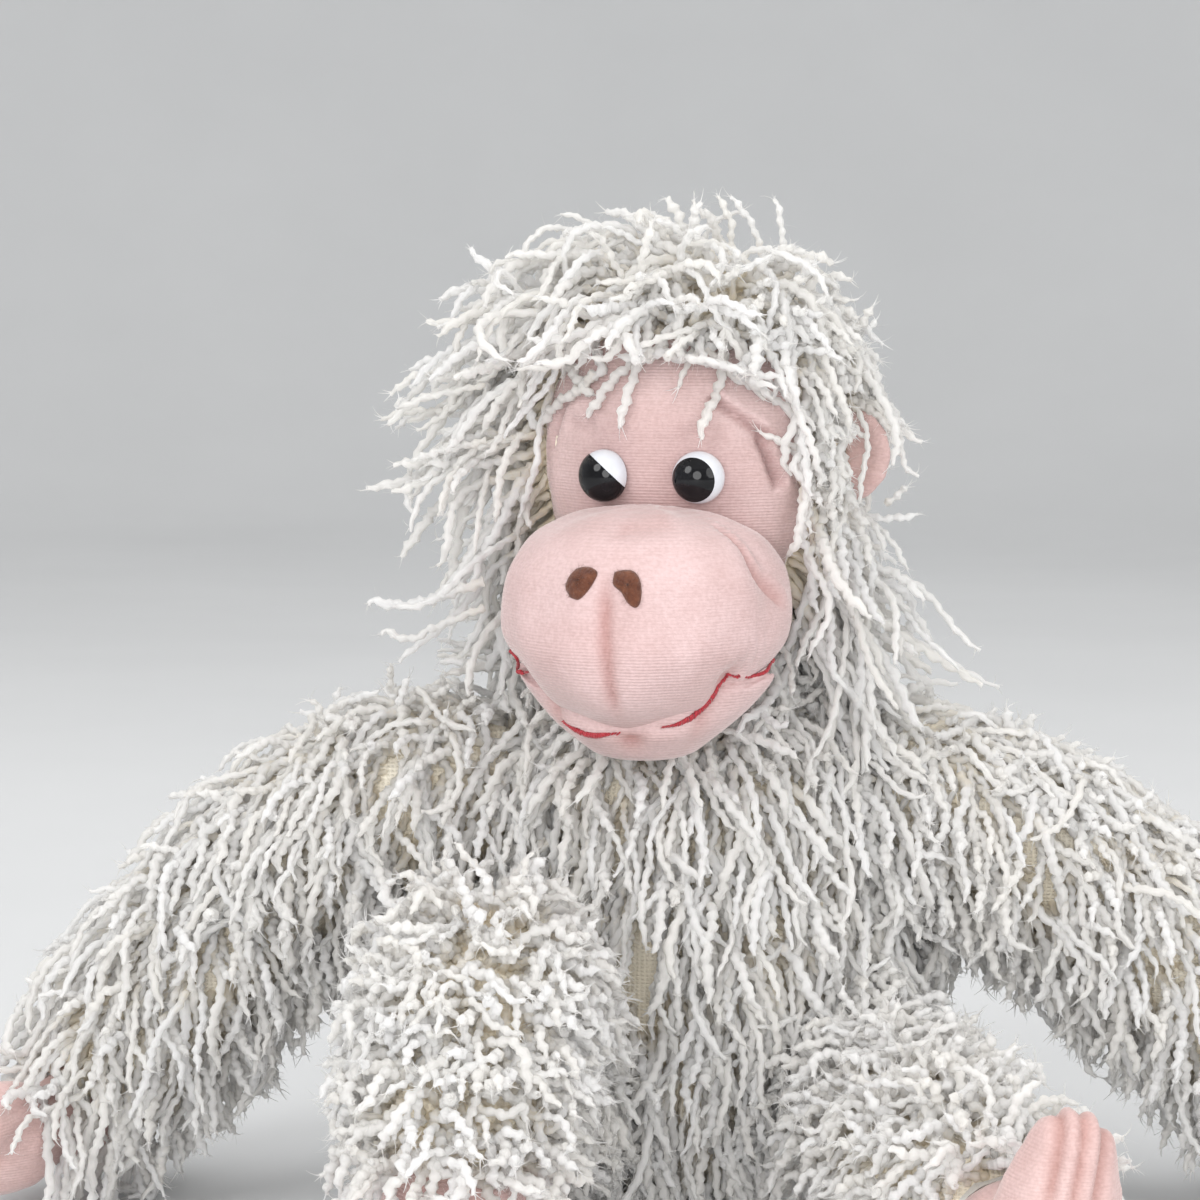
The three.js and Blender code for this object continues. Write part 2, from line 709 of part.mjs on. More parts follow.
function buildHead() {
  const head = new THREE.Group();
  head.position.copy(neckCentre);
  head.rotation.z = -radians(HEAD_TURN);
  toy.add(head);
  buildHood(head);
  buildFace(head);
  buildMuzzle(head);
  sides.forEach((side) => buildEye(head, side));
}

// A cover is hollow, with an opening where its stuffing meets the stuffing beyond.
function addStuffed(group, [coverName, fillName], forms, finish) {
  const { outer, inner, fill, opening } = forms;
  addPiece(group, coverName, outer.subtract(inner).subtract(opening(0)), finish);
  addPiece(group, fillName, fill.add(opening(-GAP).intersect(outer)), stuffing);
}

// The rest of space past a limb's rim, which lies a share of the root's radius before its end
function beyondRim(end, before, rootRadius, limbRadius) {
  const along = end.clone().sub(before).normalize();
  const rim = end.clone().addScaledVector(along, -rootRadius * RIM_SHARE);
  return rod(rim, rim.clone().addScaledVector(along, FAR), limbRadius * 2.5);
}

// One arm, in the frame of its shoulder seam
function buildArm({ name, sign }) {
  const arm = new THREE.Group();
  arm.position.copy(shoulderCentre(sign));
  toy.add(arm);
  const wristDrop = SHOULDER_HEIGHT - WRIST_RADIUS - WRIST_RISE;
  const wrist = new THREE.Vector3(sign * ARM_SPAN, -ARM_FORWARD, -wristDrop);
  const radii = [ARM_RADIUS, ELBOW_RADIUS, FOREARM_RADIUS];
  const along = ARM_ROUTE_SHARES.map(([x, y, z], i) => [
    sign * x * ARM_SPAN,
    -y * ARM_FORWARD,
    -z * wristDrop - ARM_DROOP[name] * (i < 2 ? 1 : 0),
    radii[i],
  ]);
  const stations = [
    [-sign * SEAM_TUCK, 0, SEAM_EASE, SEAM_RADIUS - SEAM_EASE],
    [0, 0, 0, SEAM_RADIUS],
    ...along,
    [wrist.x, wrist.y, wrist.z, WRIST_RADIUS],
  ];
  const across = new THREE.Vector3(0, 1, 0);
  const before = new THREE.Vector3(...stations[stations.length - 2]);
  const beyond = beyondRim(wrist, before, HAND_ROOT_RADIUS, WRIST_RADIUS);
  const torsoHalf = sign < 0
    ? block([-GAP, -FAR, -FAR], [FAR, FAR, FAR])
    : block([-FAR, -FAR, -FAR], [GAP, FAR, FAR]);
  const trimmed = (inset) => limb(stations, across, { inset })
    .subtract(torsoHalf)
    .subtract(beyond)
    .subtract(socket(HAND_ROOT_RADIUS, wrist));
  const sleeve = cutAtFloor(trimmed(0), -SHOULDER_HEIGHT);
  addPiece(arm, `arm_cover_${name}`, sleeve.subtract(limb(stations, across, { inset: PILE })), fur);
  addPiece(arm, `arm_stuffing_${name}`, trimmed(PILE + GAP), stuffing);
  buildHand(arm, wrist, { name, sign });
}

// One hand, in the frame of its wrist
function buildHand(arm, wrist, { name, sign }) {
  const hand = new THREE.Group();
  hand.position.copy(wrist);
  arm.add(hand);
  const aim = radians(HAND_AIM);
  const reach = new THREE.Vector3(sign * Math.cos(aim), -Math.sin(aim), -Math.tan(radians(HAND_DIP)))
    .normalize();
  const at = (share, raise, radius) => {
    const place = reach.clone().multiplyScalar(share * HAND_LENGTH);
    return [place.x, place.y, place.z + raise, radius];
  };
  const options = (inset, rings) => ({ inset, rings, sides: SMALL_SIDES });
  const [thumbX, thumbY, thumbZ] = at(0.64, THUMB_RADIUS, THUMB_RADIUS);
  const mitten = (inset) => limb([
    at(0, 0, HAND_ROOT_RADIUS),
    at(HAND_NECK / HAND_LENGTH, 0, HAND_NECK_RADIUS),
    at(0.6, 0, PALM_RADIUS),
    at(1, 0, FINGER_RADIUS),
  ], up, options(inset, 5)).add(limb([
    at(0.45, 2, THUMB_RADIUS),
    [thumbX, thumbY - THUMB_LENGTH, thumbZ, THUMB_RADIUS],
  ], up, options(inset, 1)));
  const back = reach.clone().multiplyScalar(-HAND_ROOT_RADIUS * 1.2);
  const front = reach.clone().multiplyScalar(HAND_ROOT_RADIUS);
  addStuffed(hand, [`hand_cover_${name}`, `hand_stuffing_${name}`], {
    outer: cutAtFloor(mitten(0), -SHOULDER_HEIGHT - wrist.z),
    inner: mitten(VELOUR),
    fill: mitten(VELOUR + GAP),
    opening: (grow) => rod(back, front, HAND_ROOT_RADIUS * PLUG_SHARE + grow, SMALL_SIDES),
  }, velour);
}

// One leg, in the frame of its hip. The right knee is drawn up; the left leg lies flat.
function buildLeg({ name, sign }) {
  const leg = new THREE.Group();
  leg.position.copy(hipCentre(sign));
  toy.add(leg);
  const stations = legStations({ name, sign });
  const ankle = new THREE.Vector3(...stations[stations.length - 1]);
  const before = new THREE.Vector3(...stations[stations.length - 2]);
  const beyond = beyondRim(ankle, before, FOOT_ROOT_RADIUS, ANKLE_RADIUS);
  const trimmed = (inset) => limb(stations, right, { inset })
    .subtract(beyond)
    .subtract(socket(FOOT_ROOT_RADIUS, ankle));
  const seatward = new THREE.Vector3(-sign * 0.35, 0.75, 0.56).setLength(HIP_RADIUS * 1.2);
  addStuffed(leg, [`leg_cover_${name}`, `leg_stuffing_${name}`], {
    outer: cutAtFloor(trimmed(0), -hipHeight),
    inner: limb(stations, right, { inset: PILE }),
    fill: trimmed(PILE + GAP),
    opening: (grow) => rod(new THREE.Vector3(), seatward, HIP_RADIUS * PLUG_SHARE + grow),
  }, fur);
  buildFoot(leg, ankle, ankle.clone().sub(before).normalize(), { name, sign });
}

// One foot, in the frame of its ankle, square to the leg's end
function buildFoot(leg, ankle, down, { name, sign }) {
  const foot = new THREE.Group();
  foot.position.copy(ankle);
  leg.add(foot);
  const toe = LEGS[name].toesUp ? up.clone() : new THREE.Vector3(0, -1, 0);
  toe.x = sign * TOES_OUT;
  toe.addScaledVector(down, -toe.dot(down)).normalize();
  const heel = HEEL_RADIUS * HEEL_SHARE;
  const at = (along, radius) => {
    const place = down.clone().multiplyScalar(HEEL_RADIUS).addScaledVector(toe, along);
    return [place.x, place.y, place.z, radius];
  };
  const sole = (inset) => limb([
    at(-heel, HEEL_RADIUS),
    at(FOOT_LENGTH * 0.4 - heel, BALL_OF_FOOT_RADIUS),
    at(FOOT_LENGTH - HEEL_RADIUS - TOE_RADIUS - heel, TOE_RADIUS),
  ], right, { inset, rings: 4, sides: SMALL_SIDES });
  const middle = down.clone().multiplyScalar(HEEL_RADIUS);
  const inward = down.clone().multiplyScalar(-FOOT_ROOT_RADIUS * 1.2);
  addStuffed(foot, [`foot_cover_${name}`, `foot_stuffing_${name}`], {
    outer: cutAtFloor(sole(0).add(ball(FOOT_ROOT_RADIUS)), -hipHeight - ankle.z),
    inner: sole(VELOUR),
    fill: sole(VELOUR + GAP),
    opening: (grow) => rod(middle, inward, FOOT_ROOT_RADIUS * PLUG_SHARE + grow, SMALL_SIDES),
  }, velour);
}

buildTorso();
const neck = new THREE.Group();
neck.position.copy(neckCentre);
toy.add(neck);
addPiece(neck, 'neck_stuffing', ball(NECK_RADIUS), stuffing);
buildHead();
sides.forEach(buildArm);
sides.forEach(buildLeg);

export default toy;
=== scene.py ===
"""A seated plush monkey: looped white yarn fur on a knitted backing, with a velour face, hands and feet."""
import math
from itertools import product

import bmesh
import bpy
import numpy as np
from mathutils import Matrix, Vector
from mathutils.bvhtree import BVHTree


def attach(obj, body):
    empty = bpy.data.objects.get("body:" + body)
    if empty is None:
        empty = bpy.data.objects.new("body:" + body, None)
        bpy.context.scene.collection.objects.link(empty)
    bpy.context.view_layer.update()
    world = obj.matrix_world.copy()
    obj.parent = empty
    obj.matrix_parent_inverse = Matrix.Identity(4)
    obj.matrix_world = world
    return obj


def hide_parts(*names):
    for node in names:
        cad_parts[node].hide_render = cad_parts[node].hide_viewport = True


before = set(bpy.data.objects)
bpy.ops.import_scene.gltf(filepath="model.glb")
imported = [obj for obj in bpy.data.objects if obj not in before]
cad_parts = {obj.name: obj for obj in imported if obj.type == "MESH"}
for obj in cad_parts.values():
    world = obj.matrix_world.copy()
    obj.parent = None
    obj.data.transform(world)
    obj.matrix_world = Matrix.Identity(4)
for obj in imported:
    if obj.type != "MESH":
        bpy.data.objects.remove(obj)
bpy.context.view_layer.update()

MM = 0.001
rng = np.random.default_rng(11)

# Camera: what it looks at and from how far, in mm, and its height above level in degrees; the picture's
# width, the focal length and the place in the picture of what it looks at, in pixels
PICTURE = 1200
AIM = np.array([0.0, -60.0, 200.0])
DISTANCE = 1000.0
ELEVATION = 6.0
FOCAL = 3332.0
AIM_PIXEL = (695.0, 596.0)

# Head: the places and sizes that the face is laid out by, in mm; its turn and the eyes' splay, in degrees
HEAD_TURN = -16.0
SKULL_RADIUS = 50.0
MUZZLE_FORWARD = 52.5
EYE_LATERAL = 15.0
EYE_HEIGHT = 235.0
EYE_RADIUS = 8.0
EYE_DOME = 7.0
EYE_SPLAY = 20.0
EAR_LATERAL = 54.0
EAR_BACK = 2.0
EAR_HEIGHT = 240.0
PANEL_MIDDLE = 236.0
PANEL_HALF_WIDTH = 41.0
PANEL_HALF_HEIGHT = 36.0
ARCH_POWER = 2.6
FACE_FOOT = 160

# Backing and velour, in mm; the last is the share of the face's opening over which the backing sinks
VELOUR = 2.0
BACKING = 3.0
HEAD_BACKING = 1.8
FACE_SINK = 8.5
RIM_DEPTH = 0.12

# Forms made from CAD nodes: voxel in mm, rounds of smoothing, and growth in mm where it is the same for all
SMOOTHING = 0.6
SKIN_FORM = (4.0, 6)
PANEL_FORM = (1.7, 14, 0.5)
EAR_FORM = (1.0, 10, 0.3)
COLLIDER_VOXEL = 3.0

# Yarn: its radius, the pitch of its ply and bumps and its loose fibres' length and width, in mm; the rest
# are shares and counts
YARN_RADIUS = 1.3
PLACED_RADIUS = 1.25
YARN_SIZES = (0.75, 1.3)
YARN_SIDES = 5
YARN_PITCH = 6.8
BUMP_PITCH = 3.4
RINGS = 33
FRAYS = 4
FRAY_SIZE = (4.6, 0.5)
STRAYS = 26
STRAY_SIZE = (5.0, 0.11)
FIBRE_PARTS = 3
THROUGH_YARN = 0.5

# How strands grow: the steps of a walk, and in mm or as shares how they ride on the form and where they
# start and end
STEPS = 20
RISE_STEPS = 7
FREE_STEPS = 5
LOOSE_FROM = 0.65
ROOT_DEPTH = 1.5
LEAST_LIFT = 0.9
MOST_PUSH = 9.0
PARTING_PUSH = 0.45
LIFT_BIAS = 1.25
FLOOR_LIFT = 2.0
FLOOR_GAP = 0.2
TOP_REACH = 319.0
BACK_REACH = 5.0
TRIES = 3.2
LEAST_SPACING = 0.82
TOP_TRIM = {"arm_left": 12.0, "arm_right": 5.0}
EAR_CLEAR = 12.5
SEAT_HEIGHT = 30.0
SEAT_SHARE = 0.45
MOST_STRANDS = 400

# Padded velour, blown up as cloth: voxel, shrinking before it and standing proud after it, in mm, and the
# cloth's quality, pressure and frames
PAD_VOXEL = 3.0
PAD_QUALITY = 4
PAD_SHRINK = 1.6
PAD_PROUD = 0.6
PAD_PRESSURE = 4.0
PAD_FRAMES = 20

COATS = {
    "head": dict(spacing=3.45, lengths=(34, 56), lift=10.0, reach=22.0, gravity=0.11, wave=0.12),
    "neck": dict(spacing=3.6, lengths=(22, 38), lift=8.0, reach=18.0, gravity=0.13, wave=0.13),
    "torso": dict(spacing=4.2, lengths=(36, 60), lift=10.5, reach=21.0, gravity=0.15, wave=0.11),
    "arm_right": dict(spacing=4.2, lengths=(32, 56), lift=11.5, reach=22.0, gravity=0.14, wave=0.13),
    "arm_left": dict(spacing=4.2, lengths=(32, 56), lift=11.5, reach=22.0, gravity=0.14, wave=0.13),
    "leg_right": dict(spacing=3.25, lengths=(19, 33), lift=11.0, reach=20.0, gravity=0.07, wave=0.2),
    "leg_left": dict(spacing=4.1, lengths=(20, 36), lift=10.0, reach=20.0, gravity=0.09, wave=0.16),
}

# What the head's coat gains at the picture's left and right and at its low and high parts, in mm
MANE_LIFT = dict(left=12.0, high=3.5, right=-7.0, low=7.0)
MANE_REACH = dict(left=20.0, high=2.0, right=-11.0, low=30.0)
MANE_LENGTH = dict(left=6.0, low=16.0, low_right=12.0)


# Meshes

def link(name, data):
    obj = bpy.data.objects.new(name, data)
    bpy.context.scene.collection.objects.link(obj)
    return obj


def quad_mesh(name, points, quads):
    """A mesh from arrays of points, in mm, and of four-cornered faces."""
    mesh = bpy.data.meshes.new(name)
    mesh.vertices.add(len(points))
    mesh.vertices.foreach_set("co", (points * MM).astype(np.float32).ravel())
    mesh.loops.add(quads.size)
    mesh.loops.foreach_set("vertex_index", quads.astype(np.int32).ravel())
    mesh.polygons.add(len(quads))
    mesh.polygons.foreach_set("loop_start", np.arange(0, quads.size, 4, dtype=np.int32))
    mesh.update(calc_edges=True)
    smoothed(mesh)
    return mesh


def smoothed(mesh):
    mesh.polygons.foreach_set("use_smooth", np.ones(len(mesh.polygons), bool))


def band_quads(rows, around):
    """The faces of a band of closed rings, as numbers of its points."""
    i, j = np.indices((rows - 1, around))
    k = (j + 1) % around
    low = i * around
    high = low + around
    return np.stack([low + j, low + k, high + k, high + j], axis=-1).reshape(-1, 4)


def repeated(quads, count, points_each):
    """The same faces again for each of a count of pieces in one mesh."""
    return (quads[None] + (np.arange(count) * points_each)[:, None, None]).reshape(-1, 4)


def corner_values(mesh, name, values):
    layer = mesh.uv_layers.new(name=name)
    layer.data.foreach_set("uv", values.astype(np.float32).ravel())


def point_values(mesh, name, values):
    kind = "FLOAT" if values.ndim == 1 else "FLOAT_VECTOR"
    field = "value" if values.ndim == 1 else "vector"
    mesh.attributes.new(name, kind, "POINT").data.foreach_set(field, values.astype(np.float32).ravel())


def points_of(mesh):
    flat = np.empty(len(mesh.vertices) * 3, np.float32)
    mesh.vertices.foreach_get("co", flat)
    return flat.reshape(-1, 3).astype(float) / MM


def normals_of(mesh):
    flat = np.empty(len(mesh.vertices) * 3, np.float32)
    mesh.vertex_normals.foreach_get("vector", flat)
    return flat.reshape(-1, 3).astype(float)


def set_points(mesh, points):
    mesh.vertices.foreach_set("co", (points * MM).astype(np.float32).ravel())
    mesh.update()


def settle(obj):
    """Applies what modifiers the object has."""
    bpy.context.view_layer.update()
    graph = bpy.context.evaluated_depsgraph_get()
    mesh = bpy.data.meshes.new_from_object(obj.evaluated_get(graph))
    obj.modifiers.clear()
    old = obj.data
    obj.data = mesh
    bpy.data.meshes.remove(old)
    smoothed(mesh)
    return obj


def remeshed(obj, voxel):
    remesh = obj.modifiers.new("even", "REMESH")
    remesh.mode = "VOXEL"
    remesh.voxel_size = voxel * MM


def joined_copy(name, meshes):
    form = bmesh.new()
    for mesh in meshes:
        form.from_mesh(mesh)
    mesh = bpy.data.meshes.new(name)
    form.to_mesh(mesh)
    form.free()
    return link(name, mesh)


def soft_form(name, nodes, voxel, rounds, grow=0.0):
    """One even closed skin round CAD nodes, its facets smoothed away, grown by some mm."""
    obj = joined_copy(name, [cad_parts[node].data for node in nodes])
    remeshed(obj, voxel)
    smooth = obj.modifiers.new("smooth", "SMOOTH")
    smooth.factor = SMOOTHING
    smooth.iterations = rounds
    settle(obj)
    if grow:
        set_points(obj.data, points_of(obj.data) + normals_of(obj.data) * grow)
    return obj


def blow_up(forms, plan):
    """Puffs the forms as cloth under pressure, within the plan's limit, and evens out how proud they are."""
    starts = {}
    for name, obj in forms.items():
        set_points(obj.data, points_of(obj.data) - normals_of(obj.data) * PAD_SHRINK)
        starts[name] = points_of(obj.data)
        cloth = obj.modifiers.new("cloth", "CLOTH")
        cloth.settings.quality = PAD_QUALITY
        cloth.settings.use_pressure = True
        cloth.settings.uniform_pressure_force = PAD_PRESSURE
        cloth.settings.effector_weights.gravity = 0.0
        cloth.point_cache.frame_start = 1
        cloth.point_cache.frame_end = PAD_FRAMES
    for number in range(1, PAD_FRAMES + 1):
        bpy.context.scene.frame_set(number)
    for name, obj in forms.items():
        settle(obj)
        start, most = starts[name], plan[name][2]
        move = points_of(obj.data) - start
        length = np.linalg.norm(move, axis=1, keepdims=True)
        set_points(obj.data, start + move * np.minimum(1, most / np.maximum(length, 1e-6)))
        normals = normals_of(obj.data)
        swelled = ((points_of(obj.data) - start) * normals).sum(axis=1).mean()
        set_points(obj.data, points_of(obj.data) + normals * (PAD_SHRINK + PAD_PROUD - swelled))
    bpy.context.scene.frame_set(1)


def puffed_forms(plan):
    """Soft forms from CAD nodes, blown up all at once: {name: (nodes, smoothing rounds, most movement)}."""
    forms = {name: soft_form(name, nodes, PAD_VOXEL, rounds) for name, (nodes, rounds, _) in plan.items()}
    blow_up(forms, plan)
    for obj in forms.values():
        obj.modifiers.new("finer", "SUBSURF").levels = 1
        settle(obj)
    return forms


def dress(obj, mat):
    """Gives a material, and stores where each point lies, so that it stays put when the piece moves."""
    point_values(obj.data, "place", points_of(obj.data) * MM)
    obj.data.materials.append(mat)


def tree_of(obj):
    """A search tree over an object's faces, in mm."""
    points = points_of(obj.data)
    faces = [tuple(face.vertices) for face in obj.data.polygons]
    return BVHTree.FromPolygons([Vector(p) for p in points], faces)


def nearest_all(tree, points):
    places = np.empty_like(points)
    normals = np.empty_like(points)
    for i, point in enumerate(points):
        place, normal, _, _ = tree.find_nearest(Vector(point))
        places[i] = place
        normals[i] = normal
    return places, normals


def unit(vectors):
    return vectors / np.maximum(np.linalg.norm(vectors, axis=-1, keepdims=True), 1e-9)


def grade(values, start, span):
    """0 up to a start and 1 from a span further on, or further down where the span is negative."""
    return np.clip((values - start) / span, 0, 1)


def eased(values):
    share = np.clip(values, 0, 1)
    return share * share * (3 - 2 * share)


def gauss(distance, width):
    return np.exp(-(distance / width) ** 2)


# The head's own frame, and the lines of sight through the picture

TURN = math.radians(HEAD_TURN)
TO_WORLD = np.array([
    [math.cos(TURN), -math.sin(TURN), 0.0],
    [math.sin(TURN), math.cos(TURN), 0.0],
    [0.0, 0.0, 1.0],
])


def head_local(points):
    """Row frame to the head's own frame, whose height stays the row's height."""
    return points @ TO_WORLD


def head_world(points):
    return np.asarray(points, float) @ TO_WORLD.T


def round_head(points):
    """Each point's angle round the head from straight ahead, in radians, and its local place."""
    local = head_local(points)
    return np.arctan2(local[:, 0], -local[:, 1]), local


RISE = math.radians(ELEVATION)
LOOK = np.array([0.0, math.cos(RISE), -math.sin(RISE)])
LIFT = np.array([0.0, math.sin(RISE), math.cos(RISE)])
EYE_POINT = AIM - LOOK * DISTANCE
SIGHT_SPAN = (DISTANCE - 140.0, DISTANCE + 40.0, 2.0)


def picture_ray(pixel):
    across = (pixel[0] - AIM_PIXEL[0]) / FOCAL
    down = (pixel[1] - AIM_PIXEL[1]) / FOCAL
    return unit(LOOK + np.array([across, 0.0, 0.0]) - LIFT * down)


def on_surface(pixel, tree):
    """The place and normal on a surface that a pixel shows, or the nearest to its line of sight."""
    ray = Vector(picture_ray(pixel))
    place, normal, _, _ = tree.ray_cast(Vector(EYE_POINT), ray)
    if place is None:
        tries = [tree.find_nearest(Vector(EYE_POINT) + ray * away) for away in np.arange(*SIGHT_SPAN)]
        place, normal, _, _ = min(tries, key=lambda found: found[3])
    return np.array(place), np.array(normal)


def smooth_path(points, count):
    """Even points on a smooth curve through the given ones."""
    points = np.asarray(points, float)
    padded = np.vstack([2 * points[0] - points[1], points, 2 * points[-1] - points[-2]])
    places = np.linspace(0, len(points) - 1 - 1e-9, 40 * len(points))
    dense = catmull(padded[None], places)[0]
    along = np.concatenate([[0], np.cumsum(np.linalg.norm(np.diff(dense, axis=0), axis=1))])
    wanted = np.linspace(0, along[-1], count)
    return np.stack([np.interp(wanted, along, dense[:, i]) for i in range(dense.shape[1])], axis=1)


def catmull(padded, places):
    """Catmull-Rom curves through rows of points that have one extra point at each end."""
    start = np.floor(places).astype(int)
    t = (places - start)[None, :, None]
    a, b, c, d = (padded[:, start + i] for i in range(4))
    curved = (2 * a - 5 * b + 4 * c - d) * t ** 2
    return 0.5 * (2 * b + (c - a) * t + curved + (3 * b - a - 3 * c + d) * t ** 3)


# Materials

def material(name):
    mat = bpy.data.materials.new(name)
    mat.use_nodes = True
    mat.node_tree.nodes.clear()
    out = mat.node_tree.nodes.new("ShaderNodeOutputMaterial")
    shader = mat.node_tree.nodes.new("ShaderNodeBsdfPrincipled")
    mat.node_tree.links.new(shader.outputs[0], out.inputs["Surface"])
    return mat, mat.node_tree, shader


def feed(tree, target, inputs):
    """Sets a node's inputs: another node's socket is linked, and three numbers are a colour."""
    for key, value in inputs.items():
        if isinstance(value, bpy.types.NodeSocket):
            tree.links.new(value, target.inputs[key])
        else:
            target.inputs[key].default_value = (*value, 1.0) if isinstance(value, tuple) else value


def node(tree, kind, inputs=None, **values):
    made = tree.nodes.new(kind)
    for key, value in values.items():
        setattr(made, key, value)
    feed(tree, made, inputs or {})
    return made


def ramp(tree, factor, stops):
    made = node(tree, "ShaderNodeValToRGB", {0: factor})
    while len(made.color_ramp.elements) < len(stops):
        made.color_ramp.elements.new(0.5)
    for element, (place, colour) in zip(made.color_ramp.elements, stops):
        element.position = place
        element.color = (*colour, 1.0)
    return made.outputs[0]


def maths(tree, operation, first, second):
    return node(tree, "ShaderNodeMath", {0: first, 1: second}, operation=operation).outputs[0]


def noise(tree, place, scale, detail=3.0, rough=0.55):
    inputs = {"Vector": place, "Scale": scale, "Detail": detail, "Roughness": rough}
    return node(tree, "ShaderNodeTexNoise", inputs).outputs[0]


def waves(tree, place, scale, distortion, direction, detail_scale=1.0):
    inputs = {"Vector": place, "Scale": scale, "Distortion": distortion, "Detail": 2.0}
    inputs["Detail Scale"] = detail_scale
    return node(tree, "ShaderNodeTexWave", inputs, bands_direction=direction).outputs["Fac"]


def attribute(tree, name, output="Fac"):
    return node(tree, "ShaderNodeAttribute", attribute_name=name).outputs[output]


def mixed(tree, factor, first, second, blend="MIX"):
    inputs = {0: factor, 6: first, 7: second}
    return node(tree, "ShaderNodeMix", inputs, data_type="RGBA", blend_type=blend).outputs[2]


def bump(tree, shader, height, distance, strength=1.0):
    made = node(tree, "ShaderNodeBump", {"Height": height, "Distance": distance * MM, "Strength": strength})
    tree.links.new(made.outputs[0], shader.inputs["Normal"])


def place_of(tree):
    return attribute(tree, "place", "Vector")


def mottled_material(name, tones, colour_noise, bumped, settings, bump_noise=None, place_from=place_of):
    """A colour that wanders between tones, with a bump from the same noise or from another one."""
    mat, tree, shader = material(name)
    place = place_from(tree)
    mottle = noise(tree, place, *colour_noise)
    feed(tree, shader, {"Base Color": ramp(tree, mottle, tones), **settings})
    bump(tree, shader, noise(tree, place, *bump_noise) if bump_noise else mottle, *bumped)
    return mat


def yarn_material(name, root, tip):
    """Looped two-ply yarn, with a helical ply and stray fibres; its colour is painted warm shade, creamy
    toward the root deep in the pile and white at the tip.
    """
    mat, tree, shader = material(name)
    place = node(tree, "ShaderNodeUVMap", uv_map="ply").outputs[0]
    mottle = maths(tree, "MULTIPLY", maths(tree, "SUBTRACT", noise(tree, place, 1.4), 0.5), 0.5)
    shade = maths(tree, "ADD", attribute(tree, "along"), mottle)
    bright = tuple(min(1, c * 1.03) for c in tip)
    warm = tuple(c * k for c, k in zip(tip, (0.995, 0.975, 0.93)))
    # Painted shade: creamy at the root, deep in the pile, lightening to white and a little brighter at the
    # tip
    colour = ramp(tree, shade, [(0.0, root), (0.34, tip), (1.0, bright)])
    colour = mixed(tree, maths(tree, "MULTIPLY", attribute(tree, "tint"), 0.55), colour, warm)
    fibre = maths(tree, "MULTIPLY", noise(tree, place, 9.0, 4.0, 0.7), 0.8)
    bump(tree, shader, maths(tree, "ADD", waves(tree, place, 0.32, 1.2, "DIAGONAL"), fibre), 0.45, 0.7)
    feed(tree, shader, {"Base Color": colour, "Roughness": 0.78, "Specular IOR Level": 0.2,
                        "Sheen Weight": 0.2, "Sheen Roughness": 0.5})
    through = node(tree, "ShaderNodeBsdfTranslucent", {"Color": colour})
    both = node(tree, "ShaderNodeMixShader", {0: THROUGH_YARN, 1: shader.outputs[0], 2: through.outputs[0]})
    feed(tree, tree.nodes["Material Output"], {"Surface": both.outputs[0]})
    return mat


def backing_material():
    """The knitted ground that the loops are sewn through."""
    mat, tree, shader = material("knitted_backing")
    place = place_of(tree)
    rows = waves(tree, place, 260.0, 1.5, "Z", 2.0)
    wales = waves(tree, place, 210.0, 1.0, "X")
    tones = [(0.25, (0.90, 0.81, 0.64)), (0.55, (0.93, 0.86, 0.72)), (0.8, (0.95, 0.90, 0.79))]
    bump(tree, shader, maths(tree, "MULTIPLY", rows, wales), 0.5, 0.8)
    feed(tree, shader, {"Base Color": ramp(tree, noise(tree, place, 45.0), tones), "Roughness": 0.9,
                        "Sheen Weight": 0.2})
    return mat


def velour_material(name, pale, deep, shadowed):
    """Short-pile velour: fine cross ribs, a soft sheen, patches where the pile leans another way, and
    painted shade: the shadowed colour laid on in creases, seams and hollows.
    """
    mat, tree, shader = material(name)
    place = place_of(tree)
    colour = ramp(tree, noise(tree, place, 38.0, 4.0, 0.6), [(0.3, deep), (0.62, pale)])
    # Painted shade: the shadowed colour goes on in creases, seams and hollows, as far as the attribute says
    colour = mixed(tree, attribute(tree, "painted_shade"), colour, shadowed)
    speckle = noise(tree, place, 900.0, 2.0, 0.5)
    fine = ramp(tree, speckle, [(0.35, (0.90, 0.88, 0.87)), (0.65, (1.0, 1.0, 1.0))])
    pile = maths(tree, "MULTIPLY", noise(tree, place, 1600.0, 2.0, 0.6), 0.8)
    bump(tree, shader, maths(tree, "ADD", waves(tree, place, 330.0, 0.8, "Z"), pile), 0.22, 0.5)
    feed(tree, shader, {"Base Color": mixed(tree, 1.0, colour, fine, "MULTIPLY"), "Roughness": 0.85,
                        "Sheen Weight": 0.55, "Sheen Roughness": 0.35, "Sheen Tint": (1.0, 0.94, 0.92),
                        "Specular IOR Level": 0.2})
    return mat


def felt_material(name, deep, pale):
    tones = [(0.32, deep), (0.7, pale)]
    settings = {"Roughness": 0.95, "Sheen Weight": 0.3}
    return mottled_material(name, tones, (420.0, 4.0, 0.7), (0.4, 0.9), settings, (1500.0, 3.0, 0.7))


def thread_material():
    """Red embroidery thread: satin, with fibres running along each stitch."""
    tones = [(0.3, (0.30, 0.008, 0.020)), (0.7, (0.52, 0.02, 0.035))]
    settings = {"Roughness": 0.42, "Anisotropic": 0.4, "Sheen Weight": 0.3}
    return mottled_material("mouth_thread", tones, (2600.0, 2.0, 0.6), (0.12, 0.6), settings)


def gloss_material(name, colour, flecks):
    """Moulded glossy plastic with the faintest swirl in it."""
    mat, tree, shader = material(name)
    place = place_of(tree)
    swirl = ramp(tree, noise(tree, place, 140.0, 2.0, 0.5), [(0.35, colour), (0.75, flecks)])
    worn = {"Value": noise(tree, place, 500.0), "To Min": 0.03, "To Max": 0.09}
    rough = node(tree, "ShaderNodeMapRange", worn).outputs[0]
    feed(tree, shader, {"Base Color": swirl, "Roughness": rough, "Specular IOR Level": 0.3})
    return mat


def object_place(tree):
    return node(tree, "ShaderNodeTexCoord").outputs["Object"]


